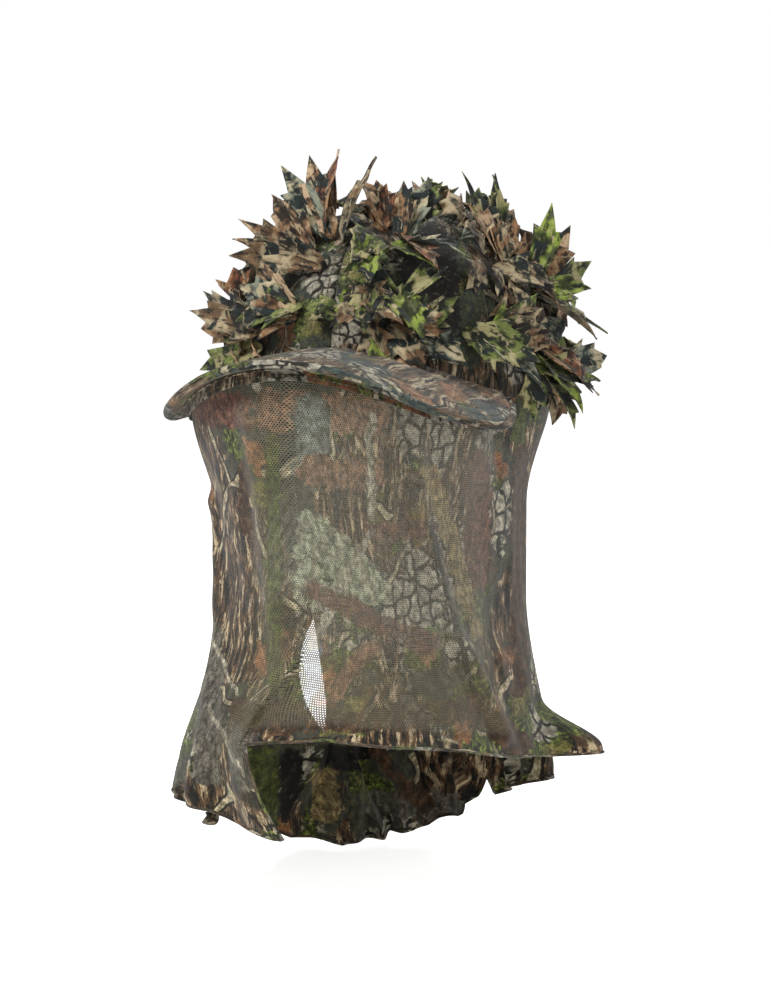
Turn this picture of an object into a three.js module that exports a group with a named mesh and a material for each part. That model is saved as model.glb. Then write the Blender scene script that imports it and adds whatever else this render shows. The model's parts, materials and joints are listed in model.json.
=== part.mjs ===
// Leafy camouflage cap with a built-in mesh face veil.
//
// Millimetres, +Z up. The origin is the centre of the head opening, level with
// the lower edge of the cap at the back. The bill points to -Y, and the
// wearer's left is +X. A bearing of 0 degrees is straight ahead, and it grows
// towards the wearer's left.

import * as THREE from 'three';

const DEG = Math.PI / 180;

// ---------------------------------------------------------------- dimensions

const SEAM = 0.3; // gap that two sewn faces keep
const LAYER = 0.9; // gap between two layers that lie on each other

const crown = {
  halfWidth: 85,
  halfLength: 103,
  top: 112,
  cloth: 1.2,
  wallPower: 0.62, // below 1 makes the sides steeper than a ball's
  buttonRadius: 7,
  buttonHeight: 4,
};

const bill = {
  crest: 38, // height of the bill's middle where it leaves the crown
  fall: 0.04, // how far it drops for each millimetre forward
  archRadius: 116,
  archHalf: 60, // the arch is round to here, and straight to the corners
  rootBearing: 62, // where each end of the bill leaves the crown
  halfWidth: 98,
  sideNarrow: 16, // how much narrower it is where it meets the crown
  reach: 172, // from the origin to the front edge
  cover: 1.0,
  coverGap: 0.6,
  board: 2.0,
  binding: 2.2, // radius of the rolled edge
};

const veil = {
  cloth: 1.2,
  inset: 12, // the veil is sewn this far inside the bill's edge
  power: 2 / 2.4, // of the rounded oval that it hangs in
  neckHeight: -50, // by here the veil has left the outline of the bill
  yokeFoot: -22, // the sewn yoke under the bill ends here
  faceHalf: 48, // bearing of each side edge of the face panel
  ventBearing: 118, // bearing of the side vents
  ventTop: -112,
  ventFoot: -190,
  ventWidth: 5, // degrees of bearing at the widest place
  hemRadius: 1.6,
};

const band = { cloth: 1.5, height: 32 };
const tape = { width: 12, cloth: 0.8, foot: 0.36 };
const stiffener = { cloth: 1.0, bearing: 42, top: 0.56 };
const arch = { bearing: 31, height: 44 };
const strap = { low: 2, high: 22, cloth: 1.1, tape: 0.8, tapeInset: 2, peel: 212.5 };

// ----------------------------------------------------------------- materials

function cloth(colour) {
  return new THREE.MeshStandardMaterial({ color: colour, roughness: 0.9, metalness: 0 });
}

const printed = cloth(0x5d5b48);
const printedDark = cloth(0x3d4238);
const mesh = cloth(0x6f6a58);
const leafBrown = cloth(0x6e5138);
const leafGreen = cloth(0x66752f);
const leafBark = cloth(0x8d8471);
const lining = cloth(0x2f322c);
const boardPlastic = new THREE.MeshStandardMaterial({
  color: 0x23251f,
  roughness: 0.6,
  metalness: 0,
});

// -------------------------------------------------------------------- shapes

const clamp01 = (t) => Math.min(1, Math.max(0, t));
const smooth = (t) => clamp01(t) ** 2 * (3 - 2 * clamp01(t));
const mix = (a, b, t) => a + (b - a) * t;
const signedPower = (value, power) => Math.sign(value) * Math.abs(value) ** power;

// Height of the bill's middle surface over a point of the plan.
function billHeight(x, y) {
  const half = Math.min(Math.abs(x), bill.archHalf);
  const run = Math.sqrt(bill.archRadius ** 2 - half ** 2);
  const slope = half / run;
  const drop = bill.archRadius - run + (Math.abs(x) - half) * slope;
  return bill.crest + bill.fall * (y + crown.halfLength) - drop;
}

// Plan of the crown's lower edge.
function rimPlan(bearing, out = 0) {
  return {
    x: (crown.halfWidth + out) * Math.sin(bearing * DEG),
    y: -(crown.halfLength + out) * Math.cos(bearing * DEG),
  };
}

// The lower edge follows the bill's arch in front, and is level behind.
function rimHeight(bearing) {
  const turn = Math.abs(bearing) > 180 ? 360 - Math.abs(bearing) : Math.abs(bearing);
  const p = rimPlan(Math.min(turn, 90));
  const front = billHeight(p.x, p.y);
  return turn <= 90 ? front : front * (1 - smooth((turn - 90) / 45));
}

// The opening above the adjusting strap is a half round at the back.
function archHeight(bearing) {
  const turn = Math.abs(180 - Math.abs(bearing)) / arch.bearing;
  return turn >= 1 ? 0 : arch.height * Math.sqrt(1 - turn ** 2);
}

// A point of the crown: rise is 0 at the lower edge and 1 at the top.
function crownPoint(bearing, rise, out = 0) {
  const lift = rise * 90 * DEG;
  const wall = Math.cos(lift) ** crown.wallPower;
  const p = rimPlan(bearing, out);
  const rim = rimHeight(bearing);
  const z = rim + (crown.top + out - rim) * Math.sin(lift);
  return new THREE.Vector3(p.x * wall, p.y * wall, z);
}

// The rise of a point that stands this high above the crown's lower edge.
function riseAt(bearing, height) {
  return Math.asin(height / (crown.top - rimHeight(bearing))) / (90 * DEG);
}

// Plan of the bill's edge: -90 to 90 degrees goes from one end to the other.
function billEdge(turn, inset = 0) {
  const nearEnd = clamp01((Math.abs(turn) - 65) / 25);
  const halfWidth = bill.halfWidth - inset - bill.sideNarrow * nearEnd ** 2;
  const rootY = rimPlan(bill.rootBearing).y;
  const depth = bill.reach - inset + rootY;
  return {
    x: halfWidth * signedPower(Math.sin(turn * DEG), 0.75),
    y: rootY - depth * signedPower(Math.cos(turn * DEG), 0.85),
  };
}

// The line along which the veil is sewn to the cap.
function veilTop(bearing) {
  const turn = Math.abs(bearing);
  const side = Math.sign(bearing) || 1;
  if (turn <= 90) {
    const p = billEdge(bearing, veil.inset);
    const z = billHeight(p.x, p.y) - bill.board / 2 - bill.cover - 1.4;
    return new THREE.Vector3(p.x, p.y, z);
  }
  const along = (turn - 90) / 90;
  const onCrown = mix(bill.rootBearing, 180, along);
  const p = rimPlan(onCrown * side, mix(-4, -1, along));
  return new THREE.Vector3(p.x, p.y, rimHeight(onCrown) - 3);
}

// Height of the veil's lower edge: short over the face, long over the neck.
function hemHeight(bearing) {
  const left = bearing >= 0 ? smooth(bearing / 180) : 0;
  const right = bearing < 0 ? smooth(-bearing / 120) : 0;
  return -162 - 94 * Math.max(left ** 1.3, right * 0.7 + smooth(-bearing / 180) * 0.3);
}

// Plan of the veil at a height. It narrows at the chin and spreads below it.
function veilPlan(bearing, z) {
  const spread = smooth((-z - 100) / 110);
  const halfWidth = mix(76, 94, spread);
  const halfLength = mix(114, 128, spread);
  const centreY = mix(-43, -48, spread);
  const s = signedPower(Math.sin(bearing * DEG), veil.power);
  const c = signedPower(Math.cos(bearing * DEG), veil.power);
  return { x: halfWidth * s, y: centreY - halfLength * c };
}

function veilPoint(bearing, z, out = 0) {
  const top = veilTop(bearing);
  const low = veilPlan(bearing, z);
  const free = smooth((top.z - z) / (top.z - veil.neckHeight));
  const p = new THREE.Vector3(mix(top.x, low.x, free), mix(top.y, low.y, free), z);
  const away = new THREE.Vector3(p.x, (p.y + 45) * 0.7, 0).normalize();
  return p.addScaledVector(away, out);
}

// ------------------------------------------------------------------ builders

const group = new THREE.Group();

function add(name, geometry, material) {
  const node = new THREE.Mesh(geometry, material);
  node.name = name;
  group.add(node);
  return node;
}

// A block cut into a grid and bent: each corner goes where place(u, v, w)
// says, with u and v over the face and w from the inner to the outer side.
function bent(nu, nv, place) {
  const geometry = new THREE.BoxGeometry(1, 1, 1, nu, nv, 1);
  const at = geometry.attributes.position;
  for (let i = 0; i < at.count; i += 1) {
    const p = place(at.getX(i) + 0.5, at.getY(i) + 0.5, at.getZ(i) + 0.5);
    at.setXYZ(i, p.x, p.y, p.z);
  }
  geometry.computeVertexNormals();
  return geometry;
}

// A rolled edge: a thin round rod along a row of points.
function rod(points, radius, steps) {
  const ring = new THREE.Shape();
  ring.absellipse(0, 0, radius, radius, 0, Math.PI * 2);
  return new THREE.ExtrudeGeometry(ring, {
    extrudePath: new THREE.CatmullRomCurve3(points),
    steps,
    curveSegments: 3,
    bevelEnabled: false,
  });
}

function pointsAlong(from, to, count, at) {
  return Array.from({ length: count + 1 }, (_, i) => at(mix(from, to, i / count)));
}

// --------------------------------------------------------------------- crown

const gores = [
  ['crown_front_left', 0, 60],
  ['crown_side_left', 60, 120],
  ['crown_back_left', 120, 180],
  ['crown_back_right', -180, -120],
  ['crown_side_right', -120, -60],
  ['crown_front_right', -60, 0],
];
const GORE_TOP = 0.994; // the gores stop under the button

for (const [name, from, to] of gores) {
  const place = (u, v, w) => {
    const bearing = mix(from, to, u);
    const rise = mix(riseAt(bearing, archHeight(bearing)), GORE_TOP, 1 - (1 - v) ** 1.3);
    const half = crown.halfWidth * Math.cos(rise * 90 * DEG) ** crown.wallPower;
    const trim = SEAM / 2 / (half * DEG);
    return crownPoint(mix(from + trim, to - trim, u), rise, (w - 1) * crown.cloth);
  };
  add(name, bent(10, 7, place), printed);
}

const buttonProfile = [
  [0, 0],
  [crown.buttonRadius, 0],
  [crown.buttonRadius, crown.buttonHeight * 0.4],
  [crown.buttonRadius * 0.7, crown.buttonHeight * 0.85],
  [0, crown.buttonHeight],
].map(([x, y]) => new THREE.Vector2(x, y));
const button = add('crown_button', new THREE.LatheGeometry(buttonProfile, 16), printedDark);
button.rotation.x = 90 * DEG;
button.position.z = crown.top + SEAM;

// Buckram behind the two front gores.
const stiffenerOut = -crown.cloth - LAYER;
add(
  'front_stiffener',
  bent(14, 6, (u, v, w) => {
    const bearing = mix(-stiffener.bearing, stiffener.bearing, u);
    const rise = mix(0.02, stiffener.top, v);
    return crownPoint(bearing, rise, stiffenerOut + (w - 1) * stiffener.cloth);
  }),
  lining,
);

const innerOut = stiffenerOut - stiffener.cloth - LAYER;

// Tapes over the seams inside, from above the sweatband to near the top.
const tapes = [
  ['seam_tape_front', 0],
  ['seam_tape_front_left', 60],
  ['seam_tape_back_left', 120],
  ['seam_tape_back', 180],
  ['seam_tape_back_right', -120],
  ['seam_tape_front_right', -60],
];
for (const [name, bearing] of tapes) {
  const foot = bearing === 180 ? 0.42 : tape.foot;
  const place = (u, v, w) => {
    const rise = mix(foot, 0.93, v);
    const wall = Math.cos(rise * 90 * DEG) ** crown.wallPower;
    const width = Math.min(tape.width, crown.halfWidth * wall * 0.8);
    const spread = ((u - 0.5) * width) / (crown.halfWidth * wall * DEG);
    return crownPoint(bearing + spread, rise, innerOut + (w - 1) * tape.cloth);
  };
  add(name, bent(2, 8, place), lining);
}

// The sweatband lies inside the lower edge, and is open at the strap.
const bandEnd = 180 - arch.bearing - 2;
add(
  'sweatband',
  bent(44, 2, (u, v, w) => {
    const bearing = mix(-bandEnd, bandEnd, u);
    const rise = riseAt(bearing, mix(1, band.height, v));
    return crownPoint(bearing, rise, innerOut + (w - 1) * band.cloth);
  }),
  lining,
);

// ---------------------------------------------------------------------- bill

// A layer of the bill between two heights above its middle surface.
function billLayer(low, high, inset) {
  return bent(20, 4, (u, v, w) => {
    const turn = mix(86, -86, u);
    const edge = billEdge(turn, inset);
    const root = rimPlan(mix(bill.rootBearing, -bill.rootBearing, u), 1.2);
    const x = mix(root.x, edge.x, v);
    const y = mix(root.y, edge.y, v);
    return new THREE.Vector3(x, y, billHeight(x, y) + mix(low, high, w));
  });
}

const boardHalf = bill.board / 2;
const billInset = bill.binding + 1;
add('bill_board', billLayer(-boardHalf, boardHalf, billInset), boardPlastic);
add(
  'bill_cover_top',
  billLayer(boardHalf + bill.coverGap, boardHalf + bill.coverGap + bill.cover, billInset),
  printed,
);
add(
  'bill_cover_under',
  billLayer(-boardHalf - bill.coverGap - bill.cover, -boardHalf - bill.coverGap, billInset),
  printedDark,
);

const billRim = pointsAlong(-88, 88, 28, (turn) => {
  const p = billEdge(turn, 0);
  return new THREE.Vector3(p.x, p.y, billHeight(p.x, p.y));
});
add('bill_edge_binding', rod(billRim, bill.binding, 44), printed);

// --------------------------------------------------------------------- strap

// A curved strip across the back between two bearings, lying at a distance
// outside the crown's own surface.
function strapStrip(from, to, out, thickness, inset = 0) {
  return bent(10, 1, (u, v, w) => {
    const bearing = mix(from, to, u);
    const rise = riseAt(bearing, mix(strap.low + inset, strap.high - inset, v));
    return crownPoint(bearing, rise, out + w * thickness);
  });
}

const loopOut = -crown.cloth - LAYER - strap.cloth;
const loopTapeOut = loopOut + strap.cloth + SEAM;
const hookTapeOut = loopTapeOut + strap.tape + SEAM;
const hookOut = hookTapeOut + strap.tape + 2 * SEAM;

add('strap_loop', strapStrip(149, 196, loopOut, strap.cloth), printed);
add('strap_loop_tape', strapStrip(162, 195, loopTapeOut, strap.tape, strap.tapeInset), lining);
add('strap_hook_tape', strapStrip(165, 192, hookTapeOut, strap.tape, strap.tapeInset), lining);
add('strap_hook', strapStrip(163, strap.peel - 0.5, hookOut, strap.cloth), printed);
add('strap_anchor', strapStrip(strap.peel + 0.5, 221, hookOut, strap.cloth), printed);

// ---------------------------------------------------------------------- veil

// A panel of the veil between two bearings. top(bearing) gives its upper edge.
function veilPanel(from, to, nu, nv, top, foot) {
  return bent(nu, nv, (u, v, w) => {
    const bearing = mix(from, to, u);
    const low = foot(bearing) + veil.hemRadius * 1.5;
    const z = mix(low, top(bearing), v);
    const vent = ventShift(bearing, z, from, to);
    return veilPoint(bearing + vent, z, (w - 0.5) * veil.cloth);
  });
}

// The side edges stand apart at the vents, as a narrow pointed gap.
function ventShift(bearing, z, from, to) {
  const middle = (veil.ventTop + veil.ventFoot) / 2;
  const half = (veil.ventTop - veil.ventFoot) / 2;
  const open = Math.max(0, 1 - ((z - middle) / half) ** 2) * veil.ventWidth;
  const edge = Math.abs(Math.abs(bearing) - veil.ventBearing);
  const near = clamp01(1 - edge / 15);
  const inside = Math.abs((from + to) / 2) < veil.ventBearing ? -1 : 1;
  return open * near * inside * Math.sign(bearing);
}

const PANEL_GAP = 0.35; // degrees between two sewn panels
const sewnEdge = (bearing) => veilTop(bearing).z;
const faceTop = () => veil.yokeFoot - 1;
const yokeLow = () => veil.yokeFoot - veil.hemRadius * 1.5;

add(
  'veil_yoke',
  veilPanel(-veil.faceHalf, veil.faceHalf, 16, 3, sewnEdge, yokeLow),
  mesh,
);
add(
  'veil_face_panel',
  veilPanel(-veil.faceHalf, veil.faceHalf, 16, 7, faceTop, hemHeight),
  mesh,
);

const sideFrom = veil.faceHalf + 2 * PANEL_GAP;
const sideTo = veil.ventBearing - PANEL_GAP;
const backFrom = veil.ventBearing + PANEL_GAP;
const backTo = 180 - PANEL_GAP;

for (const [side, sign] of [
  ['left', 1],
  ['right', -1],
]) {
  const order = (a, b) => (sign > 0 ? [a, b] : [-b, -a]);
  add(
    `veil_side_${side}`,
    veilPanel(...order(sideFrom, sideTo), 10, 9, sewnEdge, hemHeight),
    mesh,
  );
  add(
    `neck_curtain_${side}`,
    veilPanel(...order(backFrom, backTo), 9, 9, sewnEdge, hemHeight),
    mesh,
  );
}

// Rolled hems, one to each panel.
function hem(name, from, to, steps) {
  const at = (bearing) => {
    const z = hemHeight(bearing);
    return veilPoint(bearing, z);
  };
  add(name, rod(pointsAlong(from, to, 12, at), veil.hemRadius, steps), printedDark);
}
hem('veil_face_hem', -veil.faceHalf + 0.5, veil.faceHalf - 0.5, 24);
hem('veil_side_hem_left', sideFrom + 0.5, sideTo - 0.5, 16);
hem('veil_side_hem_right', -sideTo + 0.5, -sideFrom - 0.5, 16);
hem('neck_curtain_hem_left', backFrom + 0.5, backTo - 0.5, 16);
hem('neck_curtain_hem_right', -backTo + 0.5, -backFrom - 0.5, 16);

// -------------------------------------------------------------------- leaves

// Outline of a cut-cloth leaf: pairs of pointed lobes along a middle line.
function leafShape(length, width, pairs) {
  const side = [];
  for (let k = 0; k < pairs; k += 1) {
    const foot = (k + 0.35) / (pairs + 0.9);
    const reach = Math.sin(Math.PI * (0.25 + 0.6 * foot));
    side.push([width * 0.16, length * foot]);
    side.push([width * 0.5 * reach, length * (foot + 0.3)]);
    side.push([width * 0.2 * (1 - foot), length * (foot + 0.2)]);
  }
  const shape = new THREE.Shape();
  shape.moveTo(-width * 0.07, 0);
  shape.lineTo(width * 0.07, 0);
  for (const [x, y] of side) shape.lineTo(x, y);
  shape.lineTo(0, length);
  for (const [x, y] of side.reverse()) shape.lineTo(-x, y);
  shape.closePath();
  return shape;
}

const LEAF_CLOTH = 1.4;
const LEAF_CLEAR = 2.5; // its root stands this far off the crown

// name, bearing and rise of the root, tip (x, y, z), width, roll, material
const leaves = [
  ['leaf_top_front_right', -55, 0.66, [-52, -36, 138], 52, 0, leafBrown],
  ['leaf_top_centre', -10, 0.8, [-8, -54, 143], 44, 10, leafBrown],
  ['leaf_top_left', 70, 0.78, [44, 8, 137], 42, -10, leafBark],
  ['leaf_top_back', 165, 0.76, [12, 60, 140], 46, 10, leafGreen],
  ['leaf_upper_right', -92, 0.5, [-103, 8, 112], 46, 20, leafBark],
  ['leaf_side_right', -84, 0.24, [-119, -20, 78], 44, 0, leafBrown],
  ['leaf_low_front_right', -66, 0.12, [-115, -58, 40], 40, 0, leafBark],
  ['leaf_low_right', -112, 0.14, [-120, 40, 36], 44, 10, leafGreen],
  ['leaf_upper_left', 78, 0.52, [92, -22, 108], 46, -15, leafBark],
  ['leaf_side_left', 96, 0.34, [117, 14, 84], 44, 0, leafBrown],
  ['leaf_low_left', 84, 0.16, [121, -14, 40], 48, 10, leafGreen],
  ['leaf_hanging_left', 108, 0.1, [112, 40, -4], 42, 0, leafGreen],
  ['leaf_upper_back_left', 140, 0.5, [74, 100, 106], 46, 10, leafBrown],
  ['leaf_back_left', 150, 0.34, [52, 128, 66], 44, 0, leafGreen],
  ['leaf_back', 180, 0.56, [0, 124, 92], 46, 10, leafBark],
  ['leaf_back_right', -150, 0.34, [-52, 128, 66], 44, 0, leafBrown],
  ['leaf_upper_back_right', -138, 0.52, [-78, 96, 108], 46, -10, leafGreen],
  ['leaf_front', 18, 0.36, [30, -126, 58], 40, 0, leafGreen],
];

for (const [name, bearing, rise, tip, width, roll, material] of leaves) {
  const root = crownPoint(bearing, rise, LEAF_CLEAR);
  const along = new THREE.Vector3(...tip).sub(root);
  const length = along.length();
  along.normalize();
  const out = new THREE.Vector3(root.x, root.y, (root.z - 20) * 0.6).normalize();
  const across = new THREE.Vector3().crossVectors(along, out).normalize();
  const face = new THREE.Vector3().crossVectors(across, along);
  const geometry = new THREE.ExtrudeGeometry(leafShape(length, width, 3), {
    depth: LEAF_CLOTH,
    bevelEnabled: false,
  });
  const turned = new THREE.Matrix4().makeRotationY(roll * DEG);
  geometry.applyMatrix4(turned);
  const leaf = add(name, geometry, material);
  leaf.matrixAutoUpdate = false;
  leaf.matrix.makeBasis(across, along, face).setPosition(root);
}

export default group;
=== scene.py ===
"""Leafy camouflage cap with a mesh face veil: the visual model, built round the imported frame.

Lengths are millimetres until a mesh is made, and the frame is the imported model's own: +Z up, the
bill to -Y and the wearer's left at +X. A bearing of 0 degrees is straight ahead, and it grows
towards the wearer's left. A rise of 0 is the crown's lower edge, and 1 is its top.
"""

import json
import math
import random

import bpy
import numpy as np
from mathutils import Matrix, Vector, noise

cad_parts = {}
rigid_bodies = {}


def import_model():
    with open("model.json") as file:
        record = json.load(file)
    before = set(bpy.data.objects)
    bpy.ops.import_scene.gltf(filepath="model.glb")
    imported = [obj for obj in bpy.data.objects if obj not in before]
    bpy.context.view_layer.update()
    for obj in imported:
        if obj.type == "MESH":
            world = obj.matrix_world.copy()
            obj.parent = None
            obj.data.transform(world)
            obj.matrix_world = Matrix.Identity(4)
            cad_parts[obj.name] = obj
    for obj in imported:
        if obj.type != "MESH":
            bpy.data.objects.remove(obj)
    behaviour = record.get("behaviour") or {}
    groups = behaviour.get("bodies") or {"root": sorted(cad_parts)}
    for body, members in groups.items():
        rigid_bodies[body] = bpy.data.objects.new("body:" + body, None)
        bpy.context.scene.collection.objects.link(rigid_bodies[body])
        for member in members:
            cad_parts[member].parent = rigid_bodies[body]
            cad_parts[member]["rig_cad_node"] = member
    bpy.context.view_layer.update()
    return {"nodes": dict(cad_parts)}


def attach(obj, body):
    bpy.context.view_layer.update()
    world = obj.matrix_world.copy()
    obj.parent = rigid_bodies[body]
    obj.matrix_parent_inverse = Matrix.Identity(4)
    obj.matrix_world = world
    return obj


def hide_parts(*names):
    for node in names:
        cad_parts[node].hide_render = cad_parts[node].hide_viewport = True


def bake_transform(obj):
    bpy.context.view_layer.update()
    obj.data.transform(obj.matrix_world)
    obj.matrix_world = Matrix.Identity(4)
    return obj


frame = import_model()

MM = 0.001
DEG = math.pi / 180

# ------------------------------------------------------------------ dimensions

CROWN_WIDTH = 85.0  # half width and half length of the crown's lower edge
CROWN_LENGTH = 103.0
CROWN_TOP = 112.0
CROWN_POWER = 0.62  # below 1 makes the sides steeper than a ball's
CLOTH = 1.2
GORE_TOP = 0.994

BILL_CREST = 38.0
BILL_FALL = 0.04
BILL_ARCH = 116.0
BILL_ARCH_HALF = 60.0
BILL_ROOT = 62.0
BILL_WIDTH = 98.0
BILL_NARROW = 16.0
BILL_REACH = 172.0
BILL_BINDING = 2.2
BILL_FACE = 2.6  # height of the top cover's surface over the bill's middle
BILL_ROWS = (5.0, 12.0, 19.0)  # stitched this far in from the edge

VEIL_INSET = 12.0
VEIL_POWER = 2 / 2.4
VEIL_NECK = -50.0
VENT_MIDDLE = -160.0
VENT_HALF = 36.0  # half the vent's height
VENT_LEAN = 14.0  # degrees that the right vent's seam leans back below the waist
HEM_RADIUS = 0.8
KNIT = 1.1  # pitch of the veil's knitted holes
VEIL_ROUND = 112.0  # radius that turns a bearing into a distance along the veil's print

ARCH_BEARING = 31.0
ARCH_HEIGHT = 44.0
STRAP_LOW = 2.0
STRAP_HIGH = 22.0

# one unit across the three-quarter front view that the placed print is laid out in
ACROSS = np.array([0.934, 0.358, 0.0])
FLOOR_HEIGHT = -264.0
FLOOR_HALF = 30000.0

# ---------------------------------------------------------------------- shapes


def smooth(t):
    t = np.clip(t, 0.0, 1.0)
    return t * t * (3 - 2 * t)


def mix(a, b, t):
    return a + (b - a) * t


def signed_power(value, power):
    return np.sign(value) * np.abs(value) ** power


def bump(value, middle, width):
    return np.exp(-(((value - middle) / width) ** 2))


def points(x, y, z):
    return np.stack(np.broadcast_arrays(x, y, z), -1).astype(float)


def bill_height(x, y):
    """Height of the bill's middle surface over a point of the plan."""
    half = np.minimum(np.abs(x), BILL_ARCH_HALF)
    run = np.sqrt(BILL_ARCH**2 - half**2)
    drop = BILL_ARCH - run + (np.abs(x) - half) * half / run
    return BILL_CREST + BILL_FALL * (y + CROWN_LENGTH) - drop


def rim_plan(bearing, out=0.0):
    """Plan of the crown's lower edge."""
    x = (CROWN_WIDTH + out) * np.sin(bearing * DEG)
    y = -(CROWN_LENGTH + out) * np.cos(bearing * DEG)
    return x, y


def rim_height(bearing):
    turn = np.abs((np.asarray(bearing) + 180) % 360 - 180)
    front = bill_height(*rim_plan(np.minimum(turn, 90)))
    return np.where(turn <= 90, front, front * (1 - smooth((turn - 90) / 45)))


def arch_height(bearing):
    """Height of the half-round opening over the adjusting strap."""
    turn = np.abs(180 - np.abs(bearing)) / ARCH_BEARING
    return ARCH_HEIGHT * np.sqrt(np.clip(1 - turn**2, 0, 1))


def crown_point(bearing, rise, out=0.0):
    lift = np.asarray(rise) * 90 * DEG
    wall = np.cos(lift) ** CROWN_POWER
    x, y = rim_plan(np.asarray(bearing), out)
    rim = rim_height(bearing)
    z = rim + (CROWN_TOP + out - rim) * np.sin(lift)
    return points(x * wall, y * wall, z)


def rise_at(bearing, height):
    """The rise of a point that stands this high above the crown's lower edge."""
    return np.arcsin(height / (CROWN_TOP - rim_height(bearing))) / (90 * DEG)


def bill_edge(turn, inset=0.0):
    """Plan of the bill's edge: -90 to 90 degrees goes from one end to the other."""
    near_end = np.clip((np.abs(turn) - 65) / 25, 0, 1)
    width = BILL_WIDTH - inset - BILL_NARROW * near_end**2
    root = rim_plan(BILL_ROOT)[1]
    depth = BILL_REACH - inset + root
    x = width * signed_power(np.sin(turn * DEG), 0.75)
    y = root - depth * np.abs(np.cos(turn * DEG)) ** 0.85
    return x, y


def veil_top(bearing):
    """The line along which the veil is sewn to the cap."""
    turn, side = np.abs(bearing), np.where(bearing < 0, -1.0, 1.0)
    x, y = bill_edge(np.clip(bearing, -90, 90), VEIL_INSET)
    front = points(x, y, bill_height(x, y) - 3.4)
    along = np.clip((turn - 90) / 90, 0, 1)
    on_crown = mix(BILL_ROOT, 180, along)
    x, y = rim_plan(on_crown * side, mix(-3.6, -2.6, along))
    back = points(x, y, rim_height(on_crown) + 3)
    return np.where((turn <= 90)[..., None], front, back)


def veil_plan(bearing, z):
    """Plan of the veil at a height. It narrows at the chin and spreads below it."""
    spread = smooth((-z - 100) / 110)
    s = signed_power(np.sin(bearing * DEG), VEIL_POWER)
    c = signed_power(np.cos(bearing * DEG), VEIL_POWER)
    x = mix(76, 94, spread) * s
    y = mix(-43, -48, spread) - mix(114, 128, spread) * c
    return x, y


def veil_point(bearing, z, out=0.0):
    top = veil_top(bearing)
    x, y = veil_plan(bearing, z)
    free = smooth((top[..., 2] - z) / (top[..., 2] - VEIL_NECK))
    x, y = mix(top[..., 0], x, free), mix(top[..., 1], y, free)
    away = points(x, (y + 45) * 0.7, 0 * x)
    away /= np.linalg.norm(away, axis=-1, keepdims=True)
    return points(x, y, z) + away * np.asarray(out)[..., None]


def noise_field(where, size, seed, octaves=2):
    """Smooth noise from about -1 to 1 at each point, with features of the size given."""
    flat = np.asarray(where, float).reshape(-1, 3) / size + seed * 7.3
    values = [noise.fractal(p, 1.0, 2.0, octaves) for p in flat.tolist()]
    return np.array(values).reshape(np.asarray(where).shape[:-1])


# ---------------------------------------------------------------------- meshes


def grid_faces(rows, columns, first=0):
    index = np.arange(rows * columns).reshape(rows, columns) + first
    corners = [index[:-1, :-1], index[:-1, 1:], index[1:, 1:], index[1:, :-1]]
    return np.stack(corners, -1).reshape(-1, 4).tolist()


def capped_faces(rows, columns):
    """Faces of a tube of rings, with a flat cap on each end."""
    ring = list(range(columns - 1))
    return grid_faces(rows, columns) + [ring[::-1], [(rows - 1) * columns + i for i in ring]]


def mesh_piece(name, places, faces, uv, materials):
    """A mesh from points in millimetres, with a print layout in millimetres.

    A face is a list of corners, and may have any number of them.
    """
    mesh = bpy.data.meshes.new(name)
    places = np.asarray(places, float).reshape(-1, 3)
    mesh.from_pydata((places * MM).tolist(), [], faces)
    corner = np.empty(len(mesh.loops), np.int32)
    mesh.loops.foreach_get("vertex_index", corner)
    layout = np.asarray(uv, float).reshape(-1, 2)[corner] * MM
    mesh.uv_layers.new(name="print").data.foreach_set("uv", layout.ravel())
    mesh.polygons.foreach_set("use_smooth", np.ones(len(mesh.polygons), bool))
    for material in materials:
        mesh.materials.append(material)
    piece = bpy.data.objects.new(name, mesh)
    bpy.context.scene.collection.objects.link(piece)
    return piece


def grid_piece(name, places, uv, material):
    rows, columns = places.shape[:2]
    return mesh_piece(name, places, grid_faces(rows, columns), uv, [material])


def thicken(piece, thickness, offset=-1.0):
    layer = piece.modifiers.new("cloth", "SOLIDIFY")
    layer.thickness = thickness * MM
    layer.offset = offset
    return piece


def row_lengths(places):
    """Distance along a row of points, from its first."""
    steps = np.linalg.norm(np.diff(places, axis=0), axis=-1)
    return np.concatenate([[0.0], np.cumsum(steps)])


def tube_places(path, radius, sides=10, flatten=1.0):
    """Rings round a path. radius is one number, or one for each point."""
    path = np.asarray(path, float)
    along = np.gradient(path, axis=0)
    along /= np.linalg.norm(along, axis=1, keepdims=True)
    side = np.cross(along, [0.0, 0.0, 1.0])
    side /= np.linalg.norm(side, axis=1, keepdims=True)
    up = np.cross(side, along)
    turn = np.linspace(0, 2 * math.pi, sides + 1)
    radius = np.broadcast_to(radius, len(path))[:, None, None]
    ring = side[:, None] * np.cos(turn)[:, None] * flatten + up[:, None] * np.sin(turn)[:, None]
    return path[:, None] + ring * radius


def tube_piece(name, path, radius, material, sides=10, flatten=1.0):
    places = tube_places(path, radius, sides, flatten)
    along = row_lengths(path)
    around = np.linspace(0, 2 * math.pi, sides + 1) * np.max(radius)
    uv = np.stack(np.meshgrid(around, along), -1)
    rows, columns = places.shape[:2]
    return mesh_piece(name, places, capped_faces(rows, columns), uv, [material])


def settle(piece, body, slot, *nodes):
    """Puts a piece on its body, in place of the CAD nodes named. Its slot is not used."""
    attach(piece, body)
    if nodes:
        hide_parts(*nodes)


def at_reach(row, reach, distance):
    """The point of a row at a distance along it, where reach is each of its points' distance."""
    return np.array([np.interp(distance, reach, row[:, k]) for k in range(3)])


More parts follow.
